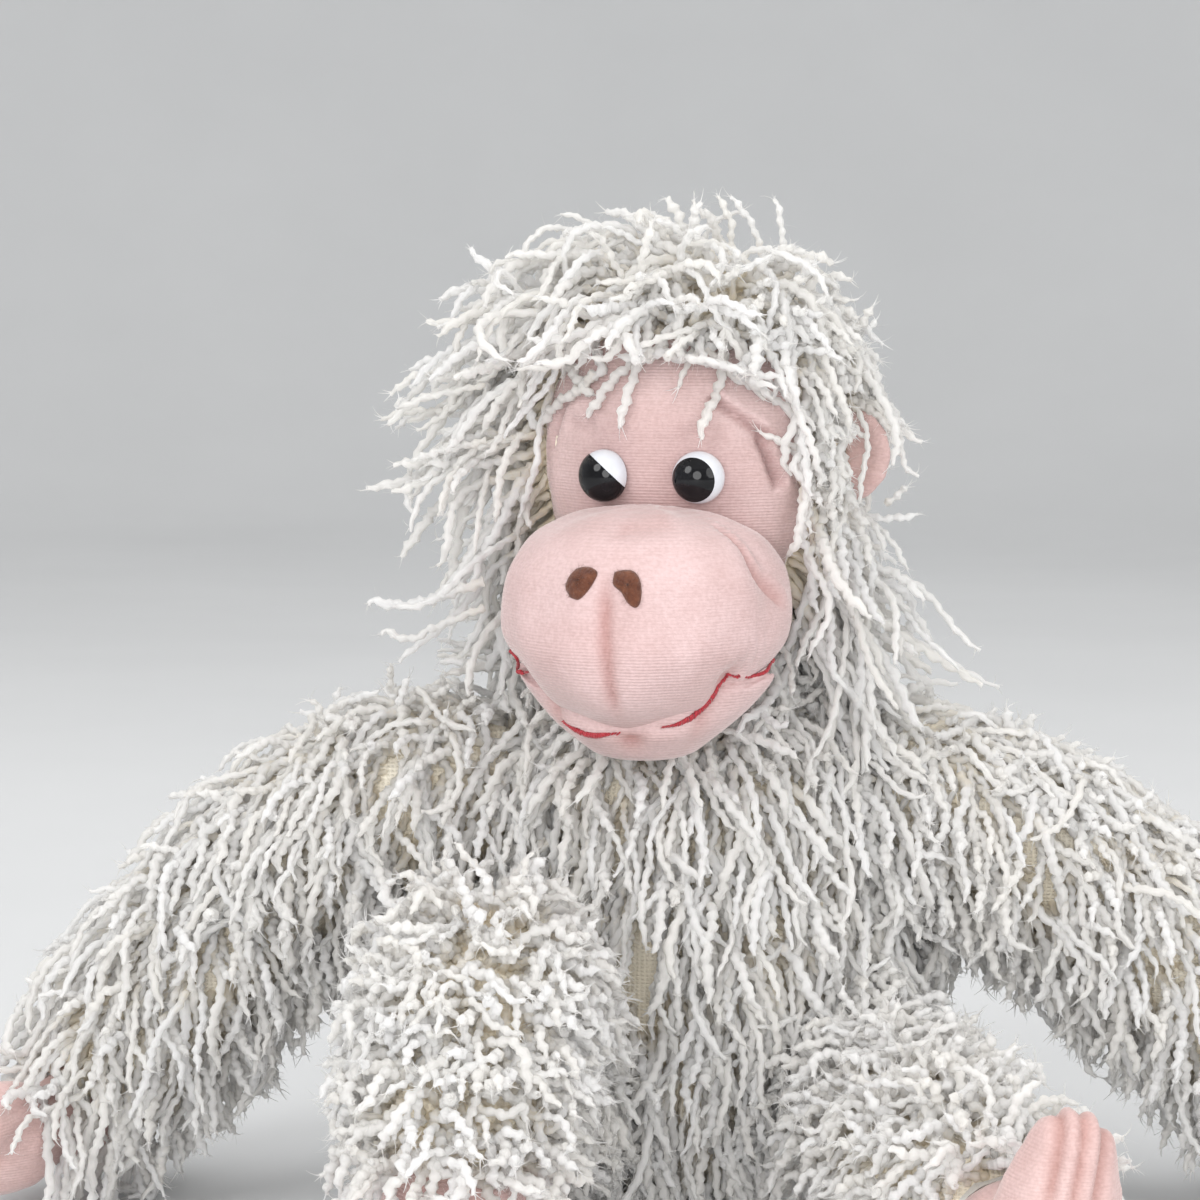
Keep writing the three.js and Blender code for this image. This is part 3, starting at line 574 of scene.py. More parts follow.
def inner_material(name, low, high, scale, rough, depth):
    """For the CAD nodes that stay inside the covers: wadding, pellets and the eyes' stems and washers."""
    tones = [(0.3, low), (0.7, high)]
    return mottled_material(name, tones, (scale, 5.0, 0.65), (depth, 0.7), {"Roughness": rough},
                            place_from=object_place)


# The first colour of each yarn is the painted warm shade at its root, the second the white at its tip
FUR = yarn_material("yarn_fur", (0.96, 0.88, 0.72), (0.972, 0.968, 0.965))
FRINGE = yarn_material("yarn_fringe", (0.92, 0.89, 0.85), (0.955, 0.953, 0.95))
KNIT = backing_material()
# The last colour of each velour is its painted shade, for creases, seams and hollows
FACE_VELOUR = velour_material("velour_face", (0.70, 0.53, 0.52), (0.61, 0.435, 0.42), (0.44, 0.29, 0.28))
MUZZLE_VELOUR = velour_material("velour_muzzle", (0.69, 0.515, 0.51), (0.60, 0.425, 0.415),
                                (0.42, 0.19, 0.165))
PALM_VELOUR = velour_material("velour_palm", (0.70, 0.51, 0.49), (0.62, 0.42, 0.40), (0.45, 0.24, 0.21))
FELT = felt_material("nostril_felt", (0.085, 0.022, 0.010), (0.19, 0.065, 0.03))
THREAD = thread_material()
EYE_WHITE = gloss_material("eye_white_gloss", (0.66, 0.68, 0.73), (0.74, 0.75, 0.78))
EYE_BLACK = gloss_material("eye_black_gloss", (0.004, 0.004, 0.005), (0.010, 0.010, 0.012))


# Skins under the fur

def sink_behind_face(skin):
    """The backing stops at the face's seam, so behind the face it lies deeper."""
    points = points_of(skin.data)
    depth, local, _, _ = face_zone(points)
    inner = eased(depth / RIM_DEPTH) * (local[:, 1] < 0)
    set_points(skin.data, points - normals_of(skin.data) * (FACE_SINK * inner)[:, None])


def make_skins():
    """The backing of each furry body, its stuffing's form grown by the backing's thickness."""
    skins = {}
    for body in ("torso", "neck", "head", "arm_right", "arm_left", "leg_right", "leg_left"):
        kind, _, side = body.partition("_")
        nodes = [f"{kind}_stuffing_{side}" if side else f"{kind}_stuffing"]
        if body == "torso":
            nodes = ["body_stuffing", "bean_bag"]
        grow = HEAD_BACKING if body == "head" else BACKING
        skins[body] = soft_form(f"backing_{body}", nodes, *SKIN_FORM, grow)
        if body == "head":
            sink_behind_face(skins[body])
        dress(skins[body], KNIT)
    return skins


# Velour forms

def around_muzzle(points):
    """Each point's angle round the muzzle's middle from straight ahead, in degrees, and its local place."""
    local = head_local(points)
    return np.degrees(np.arctan2(local[:, 0], -(local[:, 1] + MUZZLE_FORWARD))), local


def pleated(place, table):
    """How far each place, in mm over the surface, moves for a table's folds, and how much painted shade its
    creases get.
    """
    move = np.zeros(len(place))
    crease_shade = np.zeros(len(place))
    for start, end, depth, width in table:
        a = np.array(start, float)
        line = np.array(end, float) - a
        share = np.clip(((place - a) @ line) / (line @ line), 0, 1)
        away = np.linalg.norm(place - (a + share[:, None] * line), axis=1)
        side = ((place - a) @ np.array([-line[1], line[0]])) / np.linalg.norm(line)
        move -= depth * gauss(away, width)
        # Painted shade in the crease of each fold
        crease_shade = np.maximum(crease_shade, 0.3 * depth * gauss(away, width * 1.1))
        move += depth * 0.7 * gauss(side - width * 1.9, width * 1.2) * gauss(away, width * 2.6)
    return move, crease_shade


# Muzzle: angles in degrees round it from straight ahead, heights and depths in mm, and widths in degrees or
# mm, which are much the same there
LIP_FORWARD, LIP_TOP, LIP_FADE = 9.5, 200, 34
SEAM_DEPTH, SEAM_WIDTH, SEAM_FOOT, SEAM_HEAD = 1.9, 2.2, 165, 211
CORNER_ANGLE, CORNER_HEIGHT, CORNER_DEPTH, CORNER_WIDTH = 58, 176, 3.4, 5.0
PUCKER_ANGLE, PUCKER_HEIGHT, PUCKER_DEPTH, PUCKER_WIDTH = 66, 184, 0.45, 9
DIMPLE_ANGLE, DIMPLE_HEIGHT, DIMPLE_DEPTH, DIMPLE_WIDTH = 76, 208, 3.2, 7
# Height below which the muzzle's underside gets painted shade
UNDERSIDE = 168


def sculpt_muzzle(obj):
    """The overhanging lip, nose seam, pinched corners of the mouth and the dimple in the cheek, with painted
    shade along the seam, in the corners and folds and under the muzzle.
    """
    points = points_of(obj.data)
    facing = np.maximum(np.cos(np.radians(around_muzzle(points)[0])), 0)
    forward = LIP_FORWARD * eased((LIP_TOP - points[:, 2]) / LIP_FADE) * facing ** 0.55
    points += head_world([0, -1, 0]) * forward[:, None]
    set_points(obj.data, points)
    normals = normals_of(obj.data)
    angle, local = around_muzzle(points)
    height = points[:, 2]
    run = grade(height, SEAM_FOOT, 8) * grade(height, SEAM_HEAD, -10) * (local[:, 1] < -MUZZLE_FORWARD)
    line = angle - 1.0 - (LIP_TOP - height) * 0.05
    seam = -SEAM_DEPTH * gauss(line, SEAM_WIDTH) * run
    beside = 0.9 * gauss(np.abs(line) - 11, 8) * run
    corners = np.zeros(len(points))
    for side in (-1, 1):
        near = np.hypot((angle - side * CORNER_ANGLE) * 0.7, height - CORNER_HEIGHT)
        corners -= CORNER_DEPTH * gauss(near, CORNER_WIDTH)
        pucker = np.hypot((angle - side * PUCKER_ANGLE) * 0.75, height - PUCKER_HEIGHT)
        corners += PUCKER_DEPTH * np.sin(angle * 1.1 + height * 0.5) * gauss(pucker, PUCKER_WIDTH)
    cheek = np.hypot((angle - DIMPLE_ANGLE) * 0.75, (height - DIMPLE_HEIGHT) * 0.55)
    dimple = -DIMPLE_DEPTH * gauss(cheek, DIMPLE_WIDTH)
    lumps = 0.5 * np.sin(angle * 0.11 + 1.3) * np.sin(height * 0.16)
    folds, crease_shade = pleated(np.column_stack([angle * 0.78, height]), MUZZLE_FOLDS)
    points += normals * (seam + beside + corners + dimple + lumps + folds)[:, None]
    set_points(obj.data, points)
    # Painted shade along the seam's groove, in the mouth's corners, under the muzzle and in its folds
    painted_shade = 0.55 * gauss(line, 3.0) * run + np.clip(-corners / 9, 0, 0.5)
    painted_shade += 0.5 * eased((UNDERSIDE - height) / 8)
    point_values(obj.data, "painted_shade", np.clip(np.maximum(painted_shade, crease_shade * 0.7), 0, 0.8))


# Jaw: how far it tucks back, and how far its ends go out and up to meet the mouth's corners
TUCK, TUCK_FOOT = 5.0, 157
END_OUT, END_UP, END_ANGLE, END_WIDTH, END_FOOT = 10.0, 9.0, 88, 32, 150


def sculpt_jaw(obj):
    """Tucks the lower lip under the upper one, with its fold and the folds under the mouth's corners, and
    painted shade in these folds.
    """
    points = points_of(obj.data)
    angle, _ = around_muzzle(points)
    facing = np.maximum(np.cos(np.radians(angle)), 0)
    back = TUCK * eased((points[:, 2] - TUCK_FOOT) / 9) * facing ** 2
    points += head_world([0, 1, 0]) * back[:, None]
    beside = eased((points[:, 2] - END_FOOT) / 16) * gauss(np.abs(angle) - END_ANGLE, END_WIDTH)
    outward = np.column_stack([np.sign(angle), np.zeros(len(points)), np.zeros(len(points))])
    points += head_world(outward) * (END_OUT * beside)[:, None] + np.array([0, 0, END_UP]) * beside[:, None]
    set_points(obj.data, points)
    angle, _ = around_muzzle(points)
    height = points[:, 2]
    fold = -2.4 * gauss(np.hypot((angle - 6) * 0.35, height - 158), 3.4)
    sides = -1.4 * gauss(np.abs(angle) - 50, 5) * gauss(height - 168, 9)
    points += normals_of(obj.data) * (fold + sides)[:, None]
    set_points(obj.data, points)
    # Painted shade in the folds
    point_values(obj.data, "painted_shade", np.clip(-(fold + sides) / 3.2, 0, 0.8))


# Each hand's and foot's joint, from which its fingers or toes point away, in mm
END_JOINTS = {
    "hand_velour_right": (-196, -18, 30),
    "hand_velour_left": (196, -18, 30),
    "foot_velour_right": (-67, -136, 31),
    "foot_velour_left": (90, -164, 29),
}
DIGIT_GROOVES = (-0.5, 0.0, 0.5)
GROOVE_LENGTH, GROOVE_WIDTH, GROOVE_DEPTH = 23, 1.7, 2.1
TIP_LENGTH = 14


def sculpt_digits(obj):
    """Grooves at the free end that part the fingers or toes, with painted shade in them."""
    points = points_of(obj.data)
    middle = points.mean(axis=0)
    spread = points - middle
    _, _, axes = np.linalg.svd(spread, full_matrices=False)
    ahead = axes[0] * np.sign(axes[0] @ (middle - np.array(END_JOINTS[obj.name])))
    wide = axes[1]
    if obj.name.startswith("foot"):
        wide = unit(np.array([[1.0, 0.0, 0.0]]) - ahead[0] * ahead)[0]
    reach = spread @ ahead
    across = spread @ wide
    tips = across[reach > reach.max() - TIP_LENGTH]
    centre = (tips.max() + tips.min()) / 2
    half = (tips.max() - tips.min()) / 2
    lines = [gauss(across - centre - half * share, GROOVE_WIDTH) for share in DIGIT_GROOVES]
    grooves = np.max(lines, axis=0) * eased((reach - reach.max() + GROOVE_LENGTH) / 9)
    set_points(obj.data, points - normals_of(obj.data) * (GROOVE_DEPTH * grooves)[:, None])
    # Painted shade in the grooves
    point_values(obj.data, "painted_shade", grooves * 0.7)


def make_velour_forms():
    """The muzzle and jaw, the hands and the feet."""
    plan = {
        "muzzle_velour": (["muzzle_cover", "muzzle_stuffing"], 6, 2.4),
        "jaw_velour": (["jaw_cover", "jaw_stuffing"], 4, 2.2),
    }
    for side in ("right", "left"):
        for kind in ("hand", "foot"):
            plan[f"{kind}_velour_{side}"] = ([f"{kind}_cover_{side}", f"{kind}_stuffing_{side}"], 2, 2.2)
    forms = puffed_forms(plan)
    sculpt_muzzle(forms["muzzle_velour"])
    sculpt_jaw(forms["jaw_velour"])
    for name, obj in forms.items():
        face = name in ("muzzle_velour", "jaw_velour")
        if not face:
            sculpt_digits(obj)
        dress(obj, MUZZLE_VELOUR if face else PALM_VELOUR)
    return forms


def sculpt_panel(obj):
    """Pleats of the face panel: folds on each side of the brow, and painted shade in the folds and round the
    eyes.
    """
    points = points_of(obj.data)
    turn, local = round_head(points)
    out = unit(local * [1, 1, 0])
    move, crease_shade = pleated(np.column_stack([np.degrees(turn) * 0.87, points[:, 2]]), PLEATS)
    points += head_world(out) * move[:, None]
    set_points(obj.data, points)
    # Painted shade round the eyes and in the folds
    painted_shade = np.zeros(len(points))
    for side in (-1, 1):
        eye = head_world([side * EYE_LATERAL, -SKULL_RADIUS, EYE_HEIGHT + 3])
        painted_shade = np.maximum(painted_shade, gauss(np.linalg.norm((points - eye) * [1, 1, 0.8], axis=1), 17))
    point_values(obj.data, "painted_shade", np.clip(np.maximum(painted_shade * 0.75, crease_shade), 0, 0.9))


# Folds: (mm round from straight ahead, height) at each end, depth, width
PLEATS = (
    ((20, 258), (37, 247), 3.2, 1.7),
    ((35, 246), (41, 233), 3.6, 1.6),
    ((-42, 243), (-36, 256), 1.7, 1.6),
    ((-30, 250), (-22, 249), 1.6, 2.6),
    ((10, 247), (20, 250), 0.8, 3.0),
)
MUZZLE_FOLDS = (
    ((54, 220), (55, 210), 2.2, 1.9),
    ((55, 210), (66, 200), 2.0, 2.2),
    ((2, 222), (24, 223), 0.9, 2.4),
)


# Where the panel ends under the fur: degrees from straight ahead, and height in mm
PANEL_END, PANEL_TOP = 66, 288


def make_panel():
    panel = soft_form("face_velour", ["face_panel", "head_stuffing"], *PANEL_FORM)
    points = points_of(panel.data)
    away = (np.abs(np.degrees(round_head(points)[0])) > PANEL_END) | (points[:, 2] > PANEL_TOP)
    form = bmesh.new()
    form.from_mesh(panel.data)
    form.verts.ensure_lookup_table()
    bmesh.ops.delete(form, geom=[form.verts[i] for i in np.flatnonzero(away)], context="VERTS")
    form.to_mesh(panel.data)
    form.free()
    sculpt_panel(panel)
    thick = panel.modifiers.new("thick", "SOLIDIFY")
    thick.thickness = VELOUR * MM
    thick.offset = -1
    settle(panel)
    dress(panel, FACE_VELOUR)
    return panel


# The hollow of each ear: its depth and radius in mm
DISH_DEPTH, DISH_RADIUS = 3.2, 8.5


def make_ear(side, sign):
    ear = soft_form(f"ear_velour_{side}", [f"ear_{side}"], *EAR_FORM)
    points = points_of(ear.data)
    local = head_local(points - points.mean(axis=0))
    dish = gauss(np.hypot(local[:, 0] - sign * 1.0, local[:, 2]), DISH_RADIUS) * (local[:, 1] < 0)
    points += head_world([0, 1, 0]) * (dish * DISH_DEPTH)[:, None]
    set_points(ear.data, points)
    dress(ear, PALM_VELOUR)
    return ear


# Eyes

def dome_mesh(name, radius, depth, rings=14, around=48):
    """A smooth dome about -Y, in mm, that ends a little behind its middle."""
    points = [(0.0, -depth, 0.0)]
    for i in range(1, rings + 1):
        turn = math.radians(100) * i / rings
        for j in range(around):
            spin = 2 * math.pi * j / around
            wide = radius * math.sin(turn)
            points.append((wide * math.cos(spin), -depth * math.cos(turn), wide * math.sin(spin)))
    faces = [(0, 1 + (j + 1) % around, 1 + j) for j in range(around)]
    faces += (band_quads(rings, around) + 1).tolist()
    mesh = bpy.data.meshes.new(name)
    mesh.from_pydata([Vector(p) * MM for p in points], [], faces)
    return mesh


# Dark part of each eye: how far it stands proud, the way its flat side's normal points, and how far past
# the eye's middle that side is; and how deep the eye sits; in mm
PUPIL_PROUD = 0.1
EYE_SEAT = 0.6
PUPIL_CUTS = {
    "right": ((-0.684, -0.05, -0.729), -1.8),
    "left": ((-0.30, -0.95, -0.10), 3.9),
}


def make_eye(side, sign):
    look = math.radians(HEAD_TURN + sign * EYE_SPLAY)
    lateral = sign * EYE_LATERAL
    seat = head_world([lateral, -math.sqrt(SKULL_RADIUS ** 2 - lateral ** 2) - EYE_SEAT, EYE_HEIGHT])
    placed = Matrix.Translation(Vector(seat) * MM) @ Matrix.Rotation(look, 4, "Z")
    white = link(f"eye_ball_{side}", dome_mesh(f"eye_ball_{side}", EYE_RADIUS, EYE_DOME))
    dark_dome = dome_mesh(f"eye_dark_{side}", EYE_RADIUS + PUPIL_PROUD, EYE_DOME + PUPIL_PROUD, 26, 80)
    dark = link(f"eye_dark_{side}", dark_dome)
    for obj in (white, dark):
        obj.data.transform(placed)
    normal, past = PUPIL_CUTS[side]
    form = bmesh.new()
    form.from_mesh(dark.data)
    place = (Vector(seat) + Vector(normal).normalized() * past) * MM
    bmesh.ops.bisect_plane(form, geom=form.verts[:] + form.edges[:] + form.faces[:], plane_co=place,
                           plane_no=Vector(normal), clear_inner=True)
    form.to_mesh(dark.data)
    form.free()
    for obj, mat in ((white, EYE_WHITE), (dark, EYE_BLACK)):
        smoothed(obj.data)
        dress(obj, mat)
        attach(obj, "head")
    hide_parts(f"eye_white_{side}")
    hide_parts(f"eye_pupil_{side}")


# Nostrils and mouth, placed on the velour by the picture's pixels

# Outline of each nostril, in pixels
NOSTRILS = {
    "right": ((571, 598), (567, 588), (571, 577), (580, 569), (591, 568), (598, 573), (594, 583), (587, 593),
              (579, 600)),
    "left": ((615, 573), (622, 571), (632, 571), (639, 577), (642, 588), (641, 602), (636, 608), (628, 603),
             (622, 593), (614, 585)),
}

# Section of a nostril's felt: the share of its outline and the height in mm; then its loose fibres
FELT_SECTION = (
    (0.0, 1.75), (0.25, 1.72), (0.5, 1.6), (0.72, 1.4), (0.88, 1.1), (0.97, 0.7), (1.0, 0.3), (1.0, -0.4),
)
FELT_AROUND = 48
FELT_FIBRES = 260
FELT_FIBRE_SIZE = (1.5, 0.09)

# The mouth's embroidered lines, in pixels, and their width in mm
MOUTH_LINES = {
    "corner_right": (((502, 656), (510, 668), (519, 672), (529, 673)), 1.1),
    "right": (((565, 721), (575, 729), (590, 735), (605, 735), (620, 733)), 1.9),
    "left": (((663, 727), (678, 724), (692, 717), (703, 708), (712, 697), (720, 685), (727, 675)), 1.9),
    "corner_left": (((728, 673), (738, 676), (752, 676), (766, 671), (779, 663)), 1.1),
}
STITCH_PITCH = 0.55
STITCH_HEIGHT = 0.55
STITCH_SLANT = 0.7
STITCH_SECTIONS = 5
THREAD_RADIUS = 0.33
THREAD_SIDES = 5


def make_nostril(side, tree):
    """A felt patch with a rounded edge, laid on the velour, with loose fibres on it."""
    outline = [on_surface(pixel, tree)[0] for pixel in NOSTRILS[side]]
    edge = smooth_path(np.array(outline + outline[:1]), FELT_AROUND + 1)[:-1]
    middle = edge.mean(axis=0)
    points = []
    for share, rise in FELT_SECTION:
        flat = middle + (edge - middle) * max(share, 0.02)
        places, normals = nearest_all(tree, flat)
        rough = rng.normal(0, 0.1, (len(flat), 1)) * (share > 0)
        points.append(places + normals * (rise + rough))
    points = np.vstack(points)
    patch = quad_mesh(f"nostril_felt_{side}", points, band_quads(len(FELT_SECTION), FELT_AROUND))
    felt = link(f"nostril_felt_{side}", patch)
    roots = points[rng.integers(0, FELT_AROUND * 6, FELT_FIBRES)]
    _, normals = nearest_all(tree, roots)
    aim = unit(normals * 0.7 + rng.normal(0, 0.7, roots.shape))
    fibres = ribbon_arrays(roots, aim, *FELT_FIBRE_SIZE)
    fuzz = link(f"nostril_fuzz_{side}", quad_mesh(f"nostril_fuzz_{side}", *fibres))
    for obj in (felt, fuzz):
        dress(obj, FELT)
        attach(obj, "head")
    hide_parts(f"nostril_{side}")


def ribbon_arrays(roots, aims, length, width):
    """Thin flat fibres that start at roots and curl as they go."""
    count = len(roots)
    side = unit(np.cross(aims, rng.normal(0, 1, aims.shape)))
    bend = rng.normal(0, 0.35, aims.shape)
    lengths = length * rng.uniform(0.6, 1.3, (count, 1))
    rows = []
    place = roots.copy()
    way = aims.copy()
    for i in range(FIBRE_PARTS + 1):
        half = width * (1 - 0.75 * i / FIBRE_PARTS) / 2
        rows.append(np.stack([place - side * half, place + side * half], axis=1))
        way = unit(way + bend)
        place = place + way * lengths / FIBRE_PARTS
    start = np.arange(FIBRE_PARTS) * 2
    strip = np.column_stack([start, start + 1, start + 3, start + 2])
    return np.stack(rows, axis=1).reshape(-1, 3), repeated(strip, count, (FIBRE_PARTS + 1) * 2)


def seen_on(pixel, trees):
    """Where a pixel meets the first of some surfaces, as near its line of sight as they allow."""
    ray = picture_ray(pixel)
    found = [on_surface(pixel, tree)[0] for tree in trees]
    return min(found, key=lambda place: (place - EYE_POINT) @ LOOK
               + 5 * np.linalg.norm(np.cross(place - EYE_POINT, ray)))


def make_mouth_line(name, trees):
    """Satin stitches side by side along a line on the velour, shorter toward its ends."""
    pixels, width = MOUTH_LINES[name]
    places = [seen_on(pixel, trees) for pixel in pixels]
    length = np.linalg.norm(np.diff(smooth_path(places, 160), axis=0), axis=1).sum()
    count = int(length / STITCH_PITCH)
    path = smooth_path(places, count)
    tangents = unit(np.gradient(path, axis=0))
    outs = unit(EYE_POINT - path)
    for tree in trees:
        near, normals = nearest_all(tree, path)
        close = np.linalg.norm(near - path, axis=1) < 2.5
        outs[close] = normals[close]
    sides = unit(np.cross(outs, tangents))
    points = []
    for i in range(count):
        jitter = rng.normal(0, 0.06, 3)
        wide = width * (0.3 + 0.7 * eased(min(i, count - 1 - i) / (0.35 * count)))
        for share in np.arange(STITCH_SECTIONS) / (STITCH_SECTIONS - 1):
            high = THREAD_RADIUS * 0.2 + STITCH_HEIGHT * math.sin(math.pi * share)
            middle = path[i] + sides[i] * ((share - 0.5) * wide) + outs[i] * high
            middle = middle + tangents[i] * (share - 0.5) * STITCH_SLANT + jitter
            for turn in 2 * math.pi * np.arange(THREAD_SIDES) / THREAD_SIDES:
                rim = middle + tangents[i] * math.cos(turn) * THREAD_RADIUS
                points.append(rim + outs[i] * math.sin(turn) * THREAD_RADIUS)
    quads = repeated(band_quads(STITCH_SECTIONS, THREAD_SIDES), count, STITCH_SECTIONS * THREAD_SIDES)
    line = link(f"mouth_thread_{name}", quad_mesh(f"mouth_thread_{name}", np.array(points), quads))
    dress(line, THREAD)
    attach(line, "head")
    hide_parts(f"mouth_stitch_{name}")


# Yarn

class Body:
    """What the strands lie on: one closed form round all skins, and which body each part of it is."""

    def __init__(self, parts):
        self.obj = joined_copy("collider", [obj.data for obj, _ in parts])
        remeshed(self.obj, COLLIDER_VOXEL)
        settle(self.obj)
        self.tree = tree_of(self.obj)
        self.labels = [label for _, label in parts]
        self.trees = [tree_of(obj) for obj, _ in parts]

    def label_of(self, point):
        best = min(range(len(self.trees)), key=lambda i: self.trees[i].find_nearest(Vector(point))[3])
        return self.labels[best]

    def done(self):
        bpy.data.objects.remove(self.obj)


def scattered(body, spacing):
    """Points spread over the whole form about a spacing apart, with normals."""
    mesh = body.obj.data
    mesh.calc_loop_triangles()
    corners = np.array([t.vertices for t in mesh.loop_triangles])
    places = points_of(mesh)
    a, b, c = (places[corners[:, i]] for i in range(3))
    cross = np.cross(b - a, c - a)
    area = np.linalg.norm(cross, axis=1) / 2
    count = int(area.sum() / (spacing ** 2) * TRIES)
    picks = rng.choice(len(area), count, p=area / area.sum())
    u = rng.random(count)
    v = rng.random(count)
    flip = u + v > 1
    u[flip] = 1 - u[flip]
    v[flip] = 1 - v[flip]
    spots = a[picks] + (b - a)[picks] * u[:, None] + (c - a)[picks] * v[:, None]
    kept = spread_out(spots, spacing * LEAST_SPACING)
    return spots[kept], unit(cross[picks])[kept]


def spread_out(spots, reach):
    """Which spots to keep, taken in order, so that none has another within reach."""
    kept = []
    cells = {}
    for i, spot in enumerate(spots):
        key = tuple((spot // reach).astype(int))
        around = [(key[0] + dx, key[1] + dy, key[2] + dz) for dx, dy, dz in product((-1, 0, 1), repeat=3)]
        others = [j for cell in around for j in cells.get(cell, ())]
        if not any(((spots[j] - spot) ** 2).sum() < reach ** 2 for j in others):
            cells.setdefault(key, []).append(i)
            kept.append(i)
    return kept


def low_half_width(height):
    """Half the open face's width below the eyes, which narrows under the muzzle."""
    return PANEL_HALF_WIDTH + 3 - 20 * grade(height, 200, -30)


def face_zone(points):
    """How deep each point lies in the open face, as a share of the opening's size; above 0 is inside."""
    angle, local = round_head(points)
    across = angle * SKULL_RADIUS
    height = points[:, 2]
    up = height - PANEL_MIDDLE
    low = up < 0
    reach = np.where(low, np.abs(across) / low_half_width(height), 0)
    wide = np.abs(across / PANEL_HALF_WIDTH) ** ARCH_POWER
    high = np.abs(np.maximum(up, 0) / PANEL_HALF_HEIGHT) ** ARCH_POWER
    arch = (wide + high) ** (1 / ARCH_POWER)
    return np.where(low, np.where(height > FACE_FOOT, 1 - reach, -1), 1 - arch), local, across, up


def clear_face(points):
    """Moves points that hang before the open face out toward its edge."""
    depth, local, across, up = face_zone(points)
    front = (local[:, 1] < 10) & (depth > 0) & (np.abs(across) < 75)
    share = np.maximum(1 - depth, 0.12)
    new_across = np.where(up < 0, np.sign(across) * low_half_width(points[:, 2]), across / share)
    new_up = np.where(up < 0, up, up / share)
    radius = np.hypot(local[:, 0], local[:, 1])
    angle = new_across / SKULL_RADIUS
    height = new_up + PANEL_MIDDLE
    moved = head_world(np.column_stack([radius * np.sin(angle), -radius * np.cos(angle), height]))
    result = points.copy()
    result[front] = points[front] + (moved[front] - points[front]) * 0.6
    return result


def topness(normals):
    """How much of an upper side each place is."""
    return grade(normals[:, 2], 0.45, 0.4)


# How the yarn is combed: the crown's place in the head's frame, in mm, ways (x, y, z) to go with the form's
# own, and how much is left to chance
CROWN = (14.0, 10.0, 0.0)
HANG = (0, 0, -0.55)
HEAD_SWEEP = (-0.26, 0, -0.5)
CHEEK_SWEEP = (0.85, 0, 0)
CHEEK_HANG = (0, 0, -0.45)
ARM_SWEEP = (0.4, 0, -0.45)
LEG_HANG = (0, 0, -0.2)
KNEE_SWEEP = (0.15, -0.7, 0)
LEG_TOUSLE, TOUSLE, TOP_TOUSLE = 0.5, 0.34, 0.75


def comb(region, spots, normals):
    """The way the yarn sets off from its root."""
    top = topness(normals)[:, None]
    ways = normals * 0.75 + HANG
    if region == "head":
        outward = spots - head_world(CROWN)
        outward[:, 2] = 0
        high = grade(spots[:, 2], 250, 35)[:, None]
        low = grade(spots[:, 2], 232, -25)[:, None]
        side = np.clip(spots[:, :1] / 35, -1, 1)
        swept = HEAD_SWEEP * (1 - low) + CHEEK_SWEEP * low * side + CHEEK_HANG * low
        ways = normals * (0.6 + 0.35 * high) + unit(outward) * 0.6 * high + swept * (1.1 - 0.8 * high)
        top = top * 0.3
    if region.startswith("leg"):
        ways = normals * 0.9 + LEG_HANG + rng.normal(0, LEG_TOUSLE, spots.shape) + KNEE_SWEEP * top
    if region.startswith("arm"):
        ways = normals * 0.75 + ARM_SWEEP * np.array([1 if region.endswith("left") else -1, 1, 1])
    tousled = ways + rng.normal(0, TOUSLE, spots.shape)
    return unit(tousled + rng.normal(0, TOP_TOUSLE, spots.shape) * [1, 1, 0.3] * top)


def fullness(region, spots, normals, coat):
    """How far from the backing each strand rides, how far off it may hang, and its length, in mm."""
    lifts = np.full(len(spots), coat["lift"])
    reach = np.full(len(spots), coat["reach"])
    lengths = rng.uniform(*coat["lengths"], len(spots))
    if region == "head":
        left = grade(spots[:, 0], 0, -35)
        right = grade(spots[:, 0], 0, 35)
        low = grade(spots[:, 2], 232, -28)
        high = grade(spots[:, 2], 262, 20)
        more = MANE_LIFT
        lifts += (more["left"] * left * (1 - 0.3 * low) + more["high"] * high
                  + more["right"] * right * (1 - low) + more["low"] * low)
        more = MANE_REACH
        reach += (more["left"] * left + more["low"] * low + more["high"] * high
                  + more["right"] * right * (1 - low))
        more = MANE_LENGTH
        lengths += (more["low"] * low * np.maximum(left, right) + more["low_right"] * low * right
                    + more["left"] * left)
    if region in TOP_TRIM:
        upper = grade(normals[:, 2], 0.1, 0.5)
        lifts -= 0.4 * TOP_TRIM[region] * upper
        reach -= TOP_TRIM[region] * upper
    if region == "torso":
        reach -= BACK_REACH * grade(spots[:, 1], 35, 25)
    lifts = lifts * rng.random(len(spots)) ** LIFT_BIAS
    return lifts, reach * rng.uniform(0.85, 1.15, len(spots)), lengths


